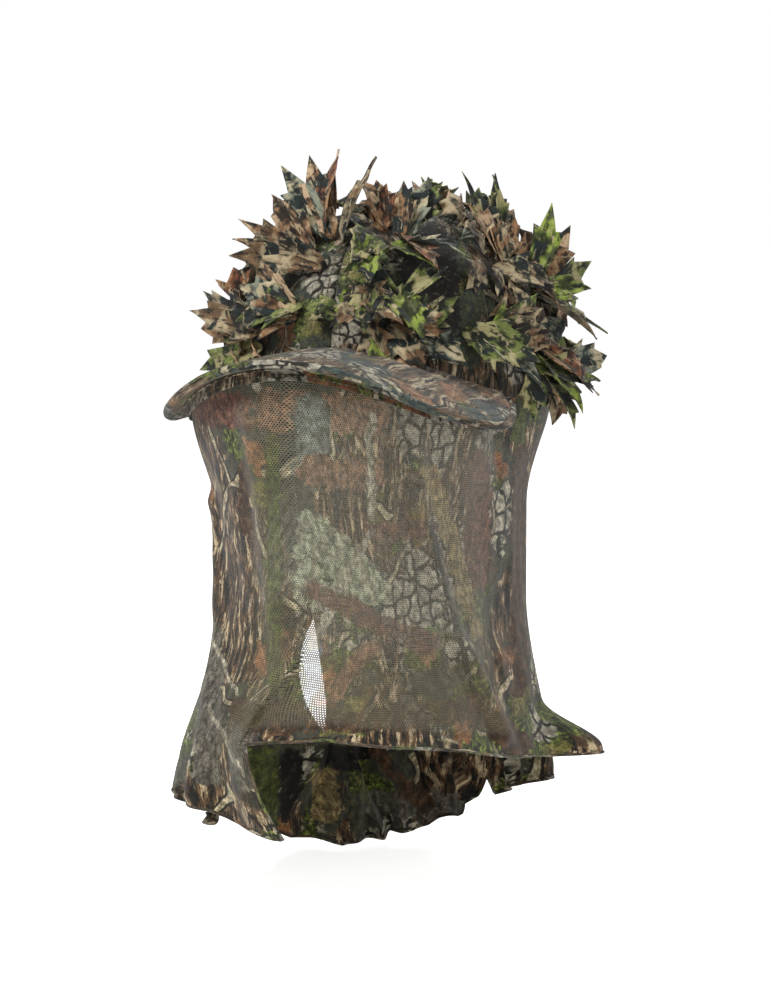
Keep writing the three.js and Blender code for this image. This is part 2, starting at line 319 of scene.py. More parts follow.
def stitches(name, rows, material, pitch=3.2, length=2.3, width=0.55):
    """Short raised threads along rows of points. Each row is (points, outward directions)."""
    places, faces = [], []
    ring = [(1, 0), (0.5, 0.8), (-0.5, 0.8), (-1, 0)]
    for path, out in rows:
        path, out = np.asarray(path, float), np.asarray(out, float)
        reach = row_lengths(path)
        for start in np.arange(pitch, reach[-1] - pitch, pitch):
            first = len(places)
            for step, size in ((0, 0.4), (0.2, 1), (0.8, 1), (1, 0.4)):
                at = start + step * length
                place, up = at_reach(path, reach, at), at_reach(out, reach, at)
                ahead = at_reach(path, reach, at + 0.5) - place
                across = np.cross(ahead, up)
                across /= np.linalg.norm(across) + 1e-9
                for s, h in ring:
                    places.append(place + across * s * width * size + up * h * width * size)
            for k in range(3):
                a = first + 4 * k
                faces += [[a + i, a + i + 1, a + i + 5, a + i + 4] for i in range(3)]
    uv = np.array(places)[:, :2]
    return mesh_piece(name, places, faces, uv, [material])


def paint(piece, name, values):
    """Stores one number for each vertex of a piece, for its material to read."""
    layer = piece.data.attributes.new(name, "FLOAT", "POINT")
    layer.data.foreach_set("value", np.asarray(values, np.float32).ravel())


def paint_colour(piece, name, colours):
    layer = piece.data.color_attributes.new(name, "FLOAT_COLOR", "POINT")
    layer.data.foreach_set("color", np.asarray(colours, np.float32).ravel())


# ------------------------------------------------------------------- materials


def colour(code):
    """A hex colour as the linear values that Blender's shaders take."""
    parts = [int(code[k : k + 2], 16) / 255 for k in (0, 2, 4)]
    return [p / 12.92 if p <= 0.04045 else ((p + 0.055) / 1.055) ** 2.4 for p in parts] + [1.0]


class Graph:
    """A short way to write a material: each call adds one node and returns its output."""

    def __init__(self, name):
        self.material = bpy.data.materials.new(name)
        self.material.use_nodes = True
        self.nodes = self.material.node_tree.nodes
        self.links = self.material.node_tree.links
        self.nodes.clear()
        self.output = self.nodes.new("ShaderNodeOutputMaterial")

    def put(self, socket, value):
        if isinstance(value, bpy.types.NodeSocket):
            self.links.new(value, socket)
        else:
            socket.default_value = value

    def node(self, kind, inputs, **settings):
        node = self.nodes.new("ShaderNode" + kind)
        for key, value in settings.items():
            setattr(node, key, value)
        for socket, value in inputs.items():
            self.put(node.inputs[socket], value)
        return node

    def print_layout(self, seed=0.0):
        """The piece's own layout in millimetres."""
        node = self.node("UVMap", {}, uv_map="print")
        scaled = self.vector("MULTIPLY", node.outputs["UV"], (1000.0, 1000.0, 0.0))
        return self.vector("ADD", scaled, (seed * 173.0, seed * 97.0, 0.0))

    def value(self, name):
        return self.node("Attribute", {}, attribute_name=name).outputs["Fac"]

    def colours(self, name):
        return self.node("Attribute", {}, attribute_name=name).outputs["Color"]

    def vector(self, operation, a, b=(0.0, 0.0, 0.0)):
        return self.node("VectorMath", {0: a, 1: b}, operation=operation).outputs[0]

    def math(self, operation, a, b=0.0, c=0.0):
        return self.node("Math", {0: a, 1: b, 2: c}, operation=operation).outputs[0]

    def parts(self, vector):
        node = self.node("SeparateXYZ", {0: vector})
        return node.outputs[0], node.outputs[1], node.outputs[2]

    def step(self, value, low, high):
        """Rises smoothly from 0 at low to 1 at high. low may be the higher number."""
        inputs = {"Value": value, "From Min": low, "From Max": high}
        if not isinstance(low, bpy.types.NodeSocket) and low > high:
            inputs = {"Value": value, "From Min": high, "From Max": low, "To Min": 1.0, "To Max": 0.0}
        node = self.node("MapRange", inputs, interpolation_type="SMOOTHSTEP")
        return node.outputs["Result"]

    def noise(self, where, size, detail=3.0, roughness=0.55, distortion=0.0):
        inputs = {
            "Vector": where,
            "Scale": 1 / size,
            "Detail": detail,
            "Roughness": roughness,
            "Distortion": distortion,
        }
        return self.node("TexNoise", inputs, noise_dimensions="2D").outputs["Fac"]

    def cells(self, where, size, feature="F1"):
        inputs = {"Vector": where, "Scale": 1 / size}
        return self.node("TexVoronoi", inputs, voronoi_dimensions="2D", feature=feature)

    def turned(self, where, angle, scale=(1.0, 1.0, 1.0)):
        inputs = {"Vector": where, "Rotation": (0.0, 0.0, angle * DEG), "Scale": scale}
        return self.node("Mapping", inputs).outputs[0]

    def warped(self, where, size, amount):
        inputs = {"Vector": where, "Scale": 1 / size, "Detail": 2.0}
        node = self.node("TexNoise", inputs, noise_dimensions="2D")
        shift = self.vector("SUBTRACT", node.outputs["Color"], (0.5, 0.5, 0.5))
        shift = self.vector("MULTIPLY", shift, (amount, amount, 0.0))
        return self.vector("ADD", where, shift)

    def mix(self, factor, a, b, blend="MIX"):
        node = self.node("Mix", {0: factor, 6: a, 7: b}, data_type="RGBA", blend_type=blend)
        return node.outputs[2]

    def shaded(self, tone, value, low, high):
        """The colour times low to high, as the value goes from 0 to 1."""
        factor = self.math("MULTIPLY_ADD", value, high - low, low)
        grey = self.node("CombineColor", {0: factor, 1: factor, 2: factor}).outputs[0]
        return self.mix(1.0, tone, grey, "MULTIPLY")

    def contrast(self, tone, power, gain):
        """Dark colours darker and light ones lighter."""
        deep = self.node("Gamma", {0: tone, 1: power}).outputs[0]
        return self.mix(1.0, deep, (gain, gain, gain, 1.0), "MULTIPLY")

    def bump(self, height, distance, normal=None):
        inputs = {"Height": height, "Distance": distance * MM}
        if normal:
            inputs["Normal"] = normal
        return self.node("Bump", inputs).outputs[0]

    def cloth(self, base, roughness=0.85, normal=None, sheen=0.2):
        inputs = {"Base Color": base, "Roughness": roughness, "Specular IOR Level": 0.25}
        inputs |= {"Sheen Weight": sheen, "Sheen Roughness": 0.5}
        if normal:
            inputs["Normal"] = normal
        return self.node("BsdfPrincipled", inputs).outputs[0]

    def finish(self, shader):
        self.links.new(shader, self.output.inputs["Surface"])
        return self.material


def weave(graph, where, pitch=0.8):
    """Relief of a plain weave."""
    x, y, _ = graph.parts(where)
    x = graph.math("SINE", graph.math("MULTIPLY", x, 2 * math.pi / pitch))
    y = graph.math("SINE", graph.math("MULTIPLY", y, 2 * math.pi / pitch))
    return graph.math("MULTIPLY", graph.math("ADD", x, y), 0.25)


def bark_print(graph, where, grain, run):
    """Long cracked streaks along the grain, from near black through brown to cream."""
    along = graph.turned(graph.warped(where, 40, 14), grain, (1.0, run, 1.0))
    streak = graph.noise(along, 5.0, 5.0, 0.65)
    crack = graph.noise(along, 2.2, 3.0, 0.6)
    tone = graph.mix(graph.step(streak, 0.38, 0.52), colour("24251f"), colour("6b553e"))
    tone = graph.mix(graph.step(streak, 0.52, 0.63), tone, colour("b3a488"))
    return graph.mix(graph.step(crack, 0.47, 0.40), tone, colour("211e17"))


def stone_print(graph, where):
    """Pale rounded blotches with dark lines between them."""
    edge = graph.cells(graph.warped(where, 9, 8), 10, "DISTANCE_TO_EDGE").outputs["Distance"]
    mottle = graph.noise(where, 3.0, 4.0, 0.7)
    tone = graph.mix(graph.step(mottle, 0.35, 0.62), colour("7d796c"), colour("b0aa98"))
    return graph.mix(graph.step(edge, 0.17, 0.05), tone, colour("25241d"))


def moss_print(graph, where):
    """Fine tufts of yellow green over near black."""
    tuft = graph.noise(graph.warped(where, 8, 6), 3.2, 5.0, 0.72)
    tone = graph.mix(graph.step(tuft, 0.40, 0.52), colour("23261a"), colour("565e2e"))
    return graph.mix(graph.step(tuft, 0.53, 0.66), tone, colour("8b9650"))


def leaf_print(graph, where, size=34.0):
    """Scattered printed leaves: their cover, from 0 to 1, and their colour."""
    cell = graph.cells(graph.warped(where, 22, 5), size)
    pick_x, pick_y, pick_z = graph.parts(cell.outputs["Color"])
    local = graph.vector("SUBTRACT", where, cell.outputs["Position"])
    angle = graph.math("MULTIPLY", pick_x, 2 * math.pi)
    turned = graph.node("VectorRotate", {"Vector": local, "Angle": angle}, rotation_type="Z_AXIS")
    x, y, _ = graph.parts(turned.outputs[0])
    x = graph.math("ABSOLUTE", x)
    full = graph.math("SUBTRACT", 1.0, graph.math("POWER", graph.math("DIVIDE", y, size * 0.46), 2.0))
    lobes = graph.math("ABSOLUTE", graph.math("SINE", graph.math("MULTIPLY", y, 10.5 / size)))
    half = graph.math("MULTIPLY", graph.math("MULTIPLY_ADD", lobes, 0.13 * size, 0.13 * size), full)
    inside = graph.step(graph.math("SUBTRACT", half, x), 0.0, 0.7)
    inside = graph.math("MULTIPLY", inside, graph.step(pick_z, 0.34, 0.36))
    slant = graph.math("FRACT", graph.math("MULTIPLY", graph.math("SUBTRACT", y, x), 0.22))
    vein = graph.math("MAXIMUM", graph.step(x, 0.7, 0.3), graph.step(slant, 0.12, 0.04))
    tone = graph.mix(graph.step(pick_y, 0.36, 0.40), colour("8a6242"), colour("6d6a3c"))
    tone = graph.mix(graph.step(pick_y, 0.68, 0.72), tone, colour("55402c"))
    tone = graph.mix(graph.math("MULTIPLY", vein, 0.45), tone, colour("b3a07c"))
    speck = graph.noise(where, 2.0, 3.0, 0.7)
    tone = graph.mix(graph.math("MULTIPLY", graph.step(speck, 0.50, 0.36), 0.6), tone, colour("2e2a20"))
    return inside, tone


def branch_print(graph, where, size=86.0):
    """Thin pale branches with dark sides: their cover and their colour."""
    edge = graph.cells(graph.warped(where, 45, 30), size, "DISTANCE_TO_EDGE").outputs["Distance"]
    core = graph.step(edge, 0.020, 0.013)
    broken = graph.step(graph.noise(graph.vector("ADD", where, (19.0, 83.0, 0.0)), 32, 2.0), 0.50, 0.53)
    cover = graph.math("MULTIPLY", graph.step(edge, 0.034, 0.028), broken)
    grain = graph.noise(where, 2.4, 3.0, 0.6)
    tone = graph.mix(graph.step(grain, 0.4, 0.6), colour("8a8068"), colour("b3a98f"))
    return cover, graph.mix(core, colour("2f2a22"), tone)


def woodland(graph, where, grain, ground, run):
    """The printed woodland pattern. Painted values can call for a part of it at a place, and the placed
    tints also carry painted shade, sheen and backlight.
    """
    broad = graph.noise(where, 60, 2.0)
    other = graph.noise(graph.vector("ADD", where, (311.0, 97.0, 0.0)), 46, 2.0)
    third = graph.noise(graph.vector("ADD", where, (77.0, 541.0, 0.0)), 38, 2.0)
    fine = graph.noise(where, 5.5, 4.0, 0.7)
    rough = graph.math("MULTIPLY", graph.math("SUBTRACT", fine, 0.5), 0.22)
    tone = graph.mix(graph.step(fine, 0.40, 0.62), colour(ground[0]), colour(ground[1]))

    moss = graph.math("ADD", graph.math("ADD", third, rough), graph.value("moss"))
    tone = graph.mix(graph.step(moss, 0.53, 0.57), tone, moss_print(graph, where))
    stone = graph.math("ADD", graph.math("ADD", other, rough), graph.value("stone"))
    tone = graph.mix(graph.step(stone, 0.56, 0.59), tone, stone_print(graph, where))
    bark = graph.math("ADD", graph.math("ADD", broad, rough), graph.value("bark"))
    tone = graph.mix(graph.step(bark, 0.53, 0.56), tone, bark_print(graph, where, grain, run))
    cover, leaf = leaf_print(graph, where)
    wanted = graph.step(graph.math("ADD", other, graph.value("leaves")), 0.55, 0.45)
    tone = graph.mix(graph.math("MULTIPLY", cover, wanted), tone, leaf)
    cover, branch = branch_print(graph, where)
    tone = graph.mix(cover, tone, branch)
    # the placed tints are print, and in some rows painted shade, painted sheen and painted backlight
    placed = graph.math("MULTIPLY_ADD", rough, 3.4, graph.value("tinted"))
    streak = graph.noise(graph.turned(where, grain, (1.0, 0.75, 1.0)), 3.4, 5.0, 0.75)
    tint = graph.shaded(graph.colours("tint"), graph.step(streak, 0.36, 0.66), 0.45, 1.4)
    flecks = graph.step(graph.noise(where, 4.2, 5.0, 0.8), 0.60, 0.64)
    tint = graph.mix(graph.math("MULTIPLY", flecks, 0.25), tint, colour("a39b84"))
    tone = graph.mix(graph.step(placed, 0.47, 0.56), tone, tint)
    tone = graph.shaded(tone, graph.step(graph.noise(where, 7.0, 5.0, 0.75), 0.40, 0.60), 0.68, 1.24)
    return graph.shaded(tone, graph.noise(where, 1.3, 2.0, 0.7), 0.7, 1.3)


def printed_cloth(name, seed, grain=20.0, ground=("363b35", "4d5138"), run=0.2):
    """Printed twill."""
    graph = Graph(name)
    where = graph.print_layout(seed)
    base = woodland(graph, where, grain, ground, run)
    relief = graph.bump(weave(graph, where), 0.12)
    relief = graph.bump(graph.noise(where, 9, 3.0), 0.5, relief)
    rough = graph.math("MULTIPLY_ADD", graph.noise(where, 14, 2.0), 0.16, 0.74)
    return graph.finish(graph.cloth(base, rough, relief))


def plain_cloth(name, dark, light, pitch=0.8, roughness=0.85):
    """Undyed or plain dyed cloth with a visible weave."""
    graph = Graph(name)
    where = graph.print_layout()
    relief = weave(graph, where, pitch)
    tone = graph.math("ADD", graph.noise(where, 6, 4.0, 0.6), graph.math("MULTIPLY", relief, 0.4))
    base = graph.mix(graph.step(tone, 0.25, 0.75), colour(dark), colour(light))
    return graph.finish(graph.cloth(base, roughness, graph.bump(relief, 0.2)))


def frame_cloth(name, dark, light, pitch=0.9):
    """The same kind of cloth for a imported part, which has no print layout."""
    graph = Graph(name)
    place = graph.node("TexCoord", {}).outputs["Object"]
    where = graph.vector("MULTIPLY", place, (1000.0, 1000.0, 1000.0))
    inputs = {"Vector": where, "Scale": 1 / 5, "Detail": 4.0}
    mottle = graph.node("TexNoise", inputs).outputs["Fac"]
    x, y, z = graph.parts(where)
    turn = 2 * math.pi / pitch
    rows = graph.math("SINE", graph.math("MULTIPLY", z, turn))
    columns = graph.math("SINE", graph.math("MULTIPLY", graph.math("ADD", x, y), turn))
    relief = graph.math("MULTIPLY", graph.math("ADD", rows, columns), 0.25)
    base = graph.mix(graph.step(mottle, 0.3, 0.7), colour(dark), colour(light))
    return graph.finish(graph.cloth(base, 0.85, graph.bump(relief, 0.2)))


def veil_mesh(name, seed, grain, turn, ground=("43443a", "5b5946")):
    """Printed knitted mesh with a painted sheen where it is open. Holes show what is behind it, and the
    painted cover closes them.
    """
    graph = Graph(name)
    where = graph.print_layout(seed)
    x, y, _ = graph.parts(where)
    waves = []
    for angle in (turn, turn + 60, turn + 120):
        c, s = math.cos(angle * DEG), math.sin(angle * DEG)
        across = graph.math("MULTIPLY", y, s * 2 * math.pi / KNIT)
        along = graph.math("MULTIPLY_ADD", x, c * 2 * math.pi / KNIT, across)
        waves.append(graph.math("COSINE", along))
    holes = graph.math("ADD", graph.math("ADD", waves[0], waves[1]), waves[2])
    holes = graph.math("MULTIPLY_ADD", holes, 1 / 4.5, 0.33)
    base = graph.contrast(woodland(graph, where, grain, ground, 0.28), 1.22, 1.66)
    # painted sheen: where the knit is open its colour is mixed towards pale 98937d, in place of light caught
    # on the threads
    painted_sheen = graph.math("MULTIPLY", graph.step(graph.value("cover"), 0.9, 0.4), 0.36)
    pale = graph.mix(painted_sheen, base, colour("98937d"))
    relief = graph.bump(holes, -0.25)
    solid = graph.cloth(pale, 0.7, relief, 0.3)
    clear = graph.node("BsdfTransparent", {}).outputs[0]
    glow = graph.node("BsdfTranslucent", {"Color": pale}).outputs[0]
    solid = graph.node("MixShader", {0: 0.12, 1: solid, 2: glow}).outputs[0]
    open_part = graph.step(graph.math("SUBTRACT", holes, graph.value("cover")), -0.42, 0.58)
    return graph.finish(graph.node("MixShader", {0: open_part, 1: solid, 2: clear}).outputs[0])


def leaf_front(name):
    """Printed face of a cut leaf: its own two tones, with bits of bark, moss and shadow."""
    graph = Graph(name)
    where = graph.print_layout()
    blotch = graph.noise(graph.warped(where, 9, 5), 10.0, 2.0, 0.5)
    other = graph.noise(graph.vector("ADD", where, (150.0, 60.0, 0.0)), 14.0, 2.5, 0.5)
    streak = graph.noise(graph.turned(where, 0, (1.0, 0.22, 1.0)), 2.6, 5.0, 0.7)
    speck = graph.noise(graph.vector("ADD", where, (50.0, 20.0, 0.0)), 3.0, 4.0, 0.7)
    tone = graph.mix(graph.step(blotch, 0.40, 0.60), graph.colours("dark"), graph.colours("light"))
    tone = graph.mix(graph.step(other, 0.53, 0.61), tone, graph.colours("other"))
    tone = graph.mix(graph.step(other, 0.42, 0.34), tone, colour("27302e"))
    tone = graph.mix(graph.math("MULTIPLY", graph.step(streak, 0.45, 0.38), 0.85), tone, colour("1a1913"))
    tone = graph.mix(graph.math("MULTIPLY", graph.step(streak, 0.60, 0.68), 0.6), tone, colour("b0a286"))
    tone = graph.mix(graph.math("MULTIPLY", graph.step(speck, 0.40, 0.33), 0.4), tone, colour("201f18"))
    edge = graph.cells(graph.warped(where, 14, 10), 21, "DISTANCE_TO_EDGE").outputs["Distance"]
    line = graph.math("MULTIPLY", graph.step(edge, 0.026, 0.014), graph.step(speck, 0.46, 0.54))
    tone = graph.mix(graph.math("MULTIPLY", line, 0.7), tone, colour("9d947b"))
    tone = graph.contrast(tone, 1.25, 1.75)
    relief = graph.bump(weave(graph, where, 0.7), 0.1)
    relief = graph.bump(graph.noise(where, 6, 3.0), 0.6, relief)
    return graph.finish(graph.cloth(tone, 0.72, relief, 0.15))


def leaf_back(name):
    """Unprinted back of a cut leaf, where the dye has only struck through."""
    graph = Graph(name)
    where = graph.print_layout()
    through = graph.noise(where, 8.0, 3.0, 0.6)
    tone = graph.mix(graph.step(through, 0.30, 0.75), graph.colours("back"), graph.colours("dark"))
    return graph.finish(graph.cloth(tone, 0.85, graph.bump(weave(graph, where, 0.7), 0.1), 0.2))


def floor_material():
    graph = Graph("studio_floor")
    solid = graph.cloth((0.9, 0.9, 0.9, 1.0), 0.95, None, 0.0)
    seen = graph.node("LightPath", {}).outputs["Is Camera Ray"]
    strength = graph.math("MULTIPLY", seen, 0.8)
    light = graph.node("Emission", {"Color": (1, 1, 1, 1), "Strength": strength}).outputs[0]
    return graph.finish(graph.node("AddShader", {0: solid, 1: light}).outputs[0])


# ---------------------------------------------------------------------- studio


def add_camera():
    data = bpy.data.cameras.new("camera")
    data.lens = 96.4
    data.sensor_width = 36.0
    camera = bpy.data.objects.new("camera", data)
    bpy.context.scene.collection.objects.link(camera)
    camera.location = (0.5363, -1.3970, 0.1046)
    aim = Vector((-0.0081, -0.0031, -0.0494))
    camera.rotation_euler = (aim - camera.location).to_track_quat("-Z", "Y").to_euler()
    bpy.context.scene.camera = camera


def add_light(name, place, size, power):
    data = bpy.data.lights.new(name, "AREA")
    data.shape = "DISK"
    data.size = size
    data.energy = power
    lamp = bpy.data.objects.new(name, data)
    bpy.context.scene.collection.objects.link(lamp)
    lamp.location = place
    lamp.rotation_euler = (-Vector(place)).to_track_quat("-Z", "Y").to_euler()


def add_studio():
    scene = bpy.context.scene
    scene.view_settings.view_transform = "Standard"
    scene.world = bpy.data.worlds.new("studio")
    scene.world.use_nodes = True
    nodes, links = scene.world.node_tree.nodes, scene.world.node_tree.links
    nodes.clear()
    seen = nodes.new("ShaderNodeBackground")
    soft = nodes.new("ShaderNodeBackground")
    seen.inputs["Strength"].default_value = 1.0
    seen.inputs["Color"].default_value = (1.0, 1.0, 1.0, 1.0)
    soft.inputs["Color"].default_value = (1.0, 1.0, 1.0, 1.0)
    soft.inputs["Strength"].default_value = 0.26
    path = nodes.new("ShaderNodeLightPath")
    pick = nodes.new("ShaderNodeMixShader")
    links.new(path.outputs["Is Camera Ray"], pick.inputs[0])
    links.new(soft.outputs[0], pick.inputs[1])
    links.new(seen.outputs[0], pick.inputs[2])
    links.new(pick.outputs[0], nodes.new("ShaderNodeOutputWorld").inputs[0])
    add_light("key", (-0.9, -1.6, 2.1), 1.0, 62)
    add_light("fill", (1.9, -0.9, 0.7), 1.6, 15)
    add_light("back", (0.4, 1.9, 1.6), 1.4, 16)
    floor = mesh_piece(
        "floor",
        points(np.array([-1, 1, 1, -1]) * FLOOR_HALF, np.array([-1, -1, 1, 1]) * FLOOR_HALF, FLOOR_HEIGHT),
        [[0, 1, 2, 3]],
        np.zeros((4, 2)),
        [floor_material()],
    )


# ----------------------------------------------------------------------- crown

GORES = [
    ("crown_front_left", 0, 60),
    ("crown_side_left", 60, 120),
    ("crown_back_left", 120, 180),
    ("crown_back_right", -180, -120),
    ("crown_side_right", -120, -60),
    ("crown_front_right", -60, 0),
]


def gore_surface(start, end, u, v):
    """A gore's outer face, drawn in along its two seams and a little rumpled."""
    bearing = mix(start, end, u)
    foot = rise_at(bearing, arch_height(bearing))
    rise = mix(foot, GORE_TOP, 1 - (1 - v) ** 1.3)
    half = CROWN_WIDTH * np.cos(rise * 90 * DEG) ** CROWN_POWER
    from_seam = np.minimum(u, 1 - u) * (end - start) * DEG * half
    groove = -1.1 * np.exp(-from_seam / 1.6) - 0.5 * bump(from_seam, 6.5, 1.0)
    flat = crown_point(bearing, rise, 0.0)
    rumple = noise_field(flat, 34, 3.1) * 1.1 + noise_field(flat, 12, 5.2) * 0.35
    return crown_point(bearing, rise, groove + rumple * smooth(from_seam / 10) - 0.2), bearing, rise


def add_crown(cloth, thread):
    v, u = np.meshgrid(np.linspace(0, 1, 56), np.linspace(0, 1, 46), indexing="ij")
    rows = []
    for index, (name, start, end) in enumerate(GORES):
        places, bearing, rise = gore_surface(start, end, u, v)
        wall = np.cos(rise * 90 * DEG) ** CROWN_POWER
        across = (bearing - (start + end) / 2) * DEG * 94 * wall + index * 118
        piece = grid_piece(name + "_cloth", places, points(across, rise * 148, 0)[..., :2], cloth)
        if name == "crown_front_left":
            place_print(piece, places, {"crown": 1.0})
        thicken(piece, CLOTH)
        settle(piece, "root", "printed_cloth", name)
        for side in (0.055, 0.945):
            line, _, _ = gore_surface(start, end, np.full(60, side), np.linspace(0.02, 0.9, 60))
            out = line / np.linalg.norm(line, axis=-1, keepdims=True)
            rows.append((line + out * 0.1, out))
    settle(stitches("crown_stitching", rows, thread), "root", "printed_cloth")


# ------------------------------------------------------------------------ bill


def bill_surface(turn, v, height, inset):
    """A bill cover at a height over its middle surface, rounding off towards the edge."""
    x1, y1 = bill_edge(turn, inset)
    x0, y0 = rim_plan(turn * BILL_ROOT / 86, 1.0)
    x, y = mix(x0, x1, v), mix(y0, y1, v)
    to_edge = np.hypot(x1 - x, y1 - y)
    rounding = 1 - 0.45 * np.exp(-to_edge / 2.2)
    rows = sum(bump(to_edge, place, 0.9) for place in BILL_ROWS)
    lift = height * rounding - np.sign(height) * 0.35 * rows
    return points(x, y, bill_height(x, y) + lift)


def add_bill(top_cloth, under_cloth, thread):
    v, turn = np.meshgrid(np.linspace(0, 1, 90) ** 0.8, np.linspace(86, -86, 170), indexing="ij")
    for name, height, material, slot in (
        ("bill_cover_top", BILL_FACE, top_cloth, "printed_cloth"),
        ("bill_cover_under", -BILL_FACE, under_cloth, "under_cloth"),
    ):
        places = bill_surface(turn, v, height, BILL_BINDING * 0.6)
        rumple = noise_field(places, 26, 2.4) * 0.5
        places[..., 2] += rumple * smooth((1 - v) * 4) * smooth(v * 6)
        piece = grid_piece(name + "_cloth", places, places[..., :2], material)
        paint(piece, "bark", np.full(v.shape, 0.08 if height > 0 else -0.1))
        thicken(piece, 0.9, -1.0 if height > 0 else 1.0)
        settle(piece, "root", slot, name)
    rim_turn = np.linspace(-88, 88, 200)
    x, y = bill_edge(rim_turn, 0.4)
    rim = points(x, y, bill_height(x, y))
    radius = BILL_BINDING + 0.15 * noise_field(rim, 9, 8.8)
    piece = tube_piece("bill_edge_roll", rim, radius, top_cloth, 14)
    settle(piece, "root", "printed_cloth", "bill_edge_binding")
    rows = []
    turn = np.linspace(-82, 82, 400)
    for place in BILL_ROWS:
        x, y = bill_edge(turn, place)
        for side in (1, -1):
            line = points(x, y, bill_height(x, y) + side * (BILL_FACE - 0.3))
            rows.append((line, np.broadcast_to([0.0, 0.0, side], line.shape)))
    settle(stitches("bill_stitching", rows, thread, 3.4, 2.4, 0.4), "root", "printed_cloth")


# ----------------------------------------------------------------------- strap


def band_places(start, end, low, high, out, thickness):
    """A soft-edged band that follows the inside or outside of the crown."""
    turn = np.linspace(0, 2 * math.pi, 33)
    corner_x = signed_power(np.cos(turn), 0.25)
    corner_y = signed_power(np.sin(turn), 0.6)
    bearing = np.linspace(start, end, max(8, int(abs(end - start) / 1.2)))
    bearing, across = np.meshgrid(bearing, corner_x, indexing="ij")
    depth = np.broadcast_to(corner_y, bearing.shape)
    height = mix(low, high, (across + 1) / 2)
    rise = rise_at(bearing, np.maximum(height, 0.2))
    places = crown_point(bearing, rise, out + thickness * (depth + 1) / 2)
    return places, points(bearing * DEG * 95, height, 0)[..., :2]


def add_band(name, start, end, low, high, out, thickness, material, body, slot):
    places, uv = band_places(start, end, low, high, out, thickness)
    rows, columns = places.shape[:2]
    piece = mesh_piece(name + "_cloth", places, capped_faces(rows, columns), uv, [material])
    settle(piece, body, slot, name)


def add_straps(cloth, hooks, loops, thread):
    low, high = STRAP_LOW, STRAP_HIGH
    add_band("strap_loop", 149, 196, low, high, -3.2, 1.1, cloth, "root", "printed_cloth")
    add_band("strap_loop_tape", 162, 195, low + 2, high - 2, -1.8, 0.8, loops, "root", "hook_and_loop")
    add_band("strap_hook_tape", 165, 192, low + 2, high - 2, -0.7, 0.8, hooks, "strap_end", "hook_and_loop")
    add_band("strap_hook", 163, 212, low, high, 0.7, 1.1, cloth, "strap_end", "printed_cloth")
    add_band("strap_anchor", 213, 221, low, high, 0.7, 1.1, cloth, "root", "printed_cloth")
    rows = {"root": [], "strap_end": []}
    for body, start, end in (("strap_end", 165, 211), ("root", 214.5, 220)):
        for height in (low + 2.2, high - 2.2):
            bearing = np.linspace(start, end, 40)
            line = crown_point(bearing, rise_at(bearing, height), 1.85)
            rows[body].append((line, line / np.linalg.norm(line, axis=-1, keepdims=True)))
    for body, lines in rows.items():
        piece = stitches("strap_stitching_" + body, lines, thread, 2.8, 1.9, 0.4)
        settle(piece, body, "printed_cloth")


def add_sweatband(cloth, thread):
    end = 180 - ARCH_BEARING - 2
    add_band("sweatband", -end, end, 1, 32, -5.5, 1.6, cloth, "root", "lining")
    bearing = np.linspace(-end + 1, end - 1, 300)
    rows = []
    for height in (3.5, 29.5):
        line = crown_point(bearing, rise_at(bearing, height), -5.55)
        rows.append((line, -line / np.linalg.norm(line, axis=-1, keepdims=True)))
    settle(stitches("sweatband_stitching", rows, thread, 4.0, 2.6, 0.4), "root", "lining")


# ------------------------------------------------------------------------ veil

FRONT_RIGHT = -123.0  # bearings of the front cloth's two side edges
FRONT_LEFT = 121.0
STEP_FOOT = -205.0  # heights of the two ends of the step in the front hem
STEP_HEAD = -160.0

# bearing and height of the front cloth's lower edge
FRONT_HEM = [
    (FRONT_RIGHT, -255),
    (-80, -215),
    (-50, -190),
    (-20, -195),
    (0, STEP_FOOT),
    (2, STEP_FOOT),
    (4, STEP_HEAD),
    (20, -155),
    (60, -165),
    (100, -185),
    (FRONT_LEFT, -190),
]
# the same for the neck cloth, whose bearings run on past 180 to the wearer's right
BACK_HEM = [
    (FRONT_LEFT, -205),
    (150, -220),
    (165, -230),
    (168, -220),
    (172, -240),
    (190, -255),
    (220, -260),
    (237, -255),
]

# folds of the neck cloth that come forward. Each one's sharp edge runs from a bearing and height
# at its head to those at its foot, and then come its width in degrees there and its depth.
PLEATS = [
    (219, -190, 201, -260, 34, 24),
    (196, -196, 183, -256, 15, 15),
    (181, -196, 169, -240, 13, 13),
    (158, -180, 150, -226, 16, 10),
]

# Places for the print in the three-quarter view: across it, from the wearer's right, and down it
REAR, CHEEK, SEAM, SLIT, MIDDLE, JAW, TEMPLE, FAR = -100, -80, -65, -45, -15, 15, 40, 65
BROW, EYES, NOSE, MOUTH, CHIN, THROAT, COLLAR, LAP, FOOT = 10, -20, -50, -80, -110, -145, -175, -210, -240
CROWN_LOW, CROWN_HIGH = 50, 90

PRINT_TINTS = {
    # near black: print on the crown, and painted shade in folds, holes and the shaded inside of the veil
    "night": "1a1711",
    "umber": "54402e",
    "rust": "6e5040",
    "fawn": "886c56",
    "straw": "92825f",
    # pale: twigs of the print, and painted sheen streaks
    "sand": "a09a88",
    "ash": "68645a",
    "slate": "747a72",
    # painted backlight: pale where light from behind shows through one layer of the knit
    "haze": "8e949a",
    "lichen": "989a84",
    "olive": "565c2c",
}
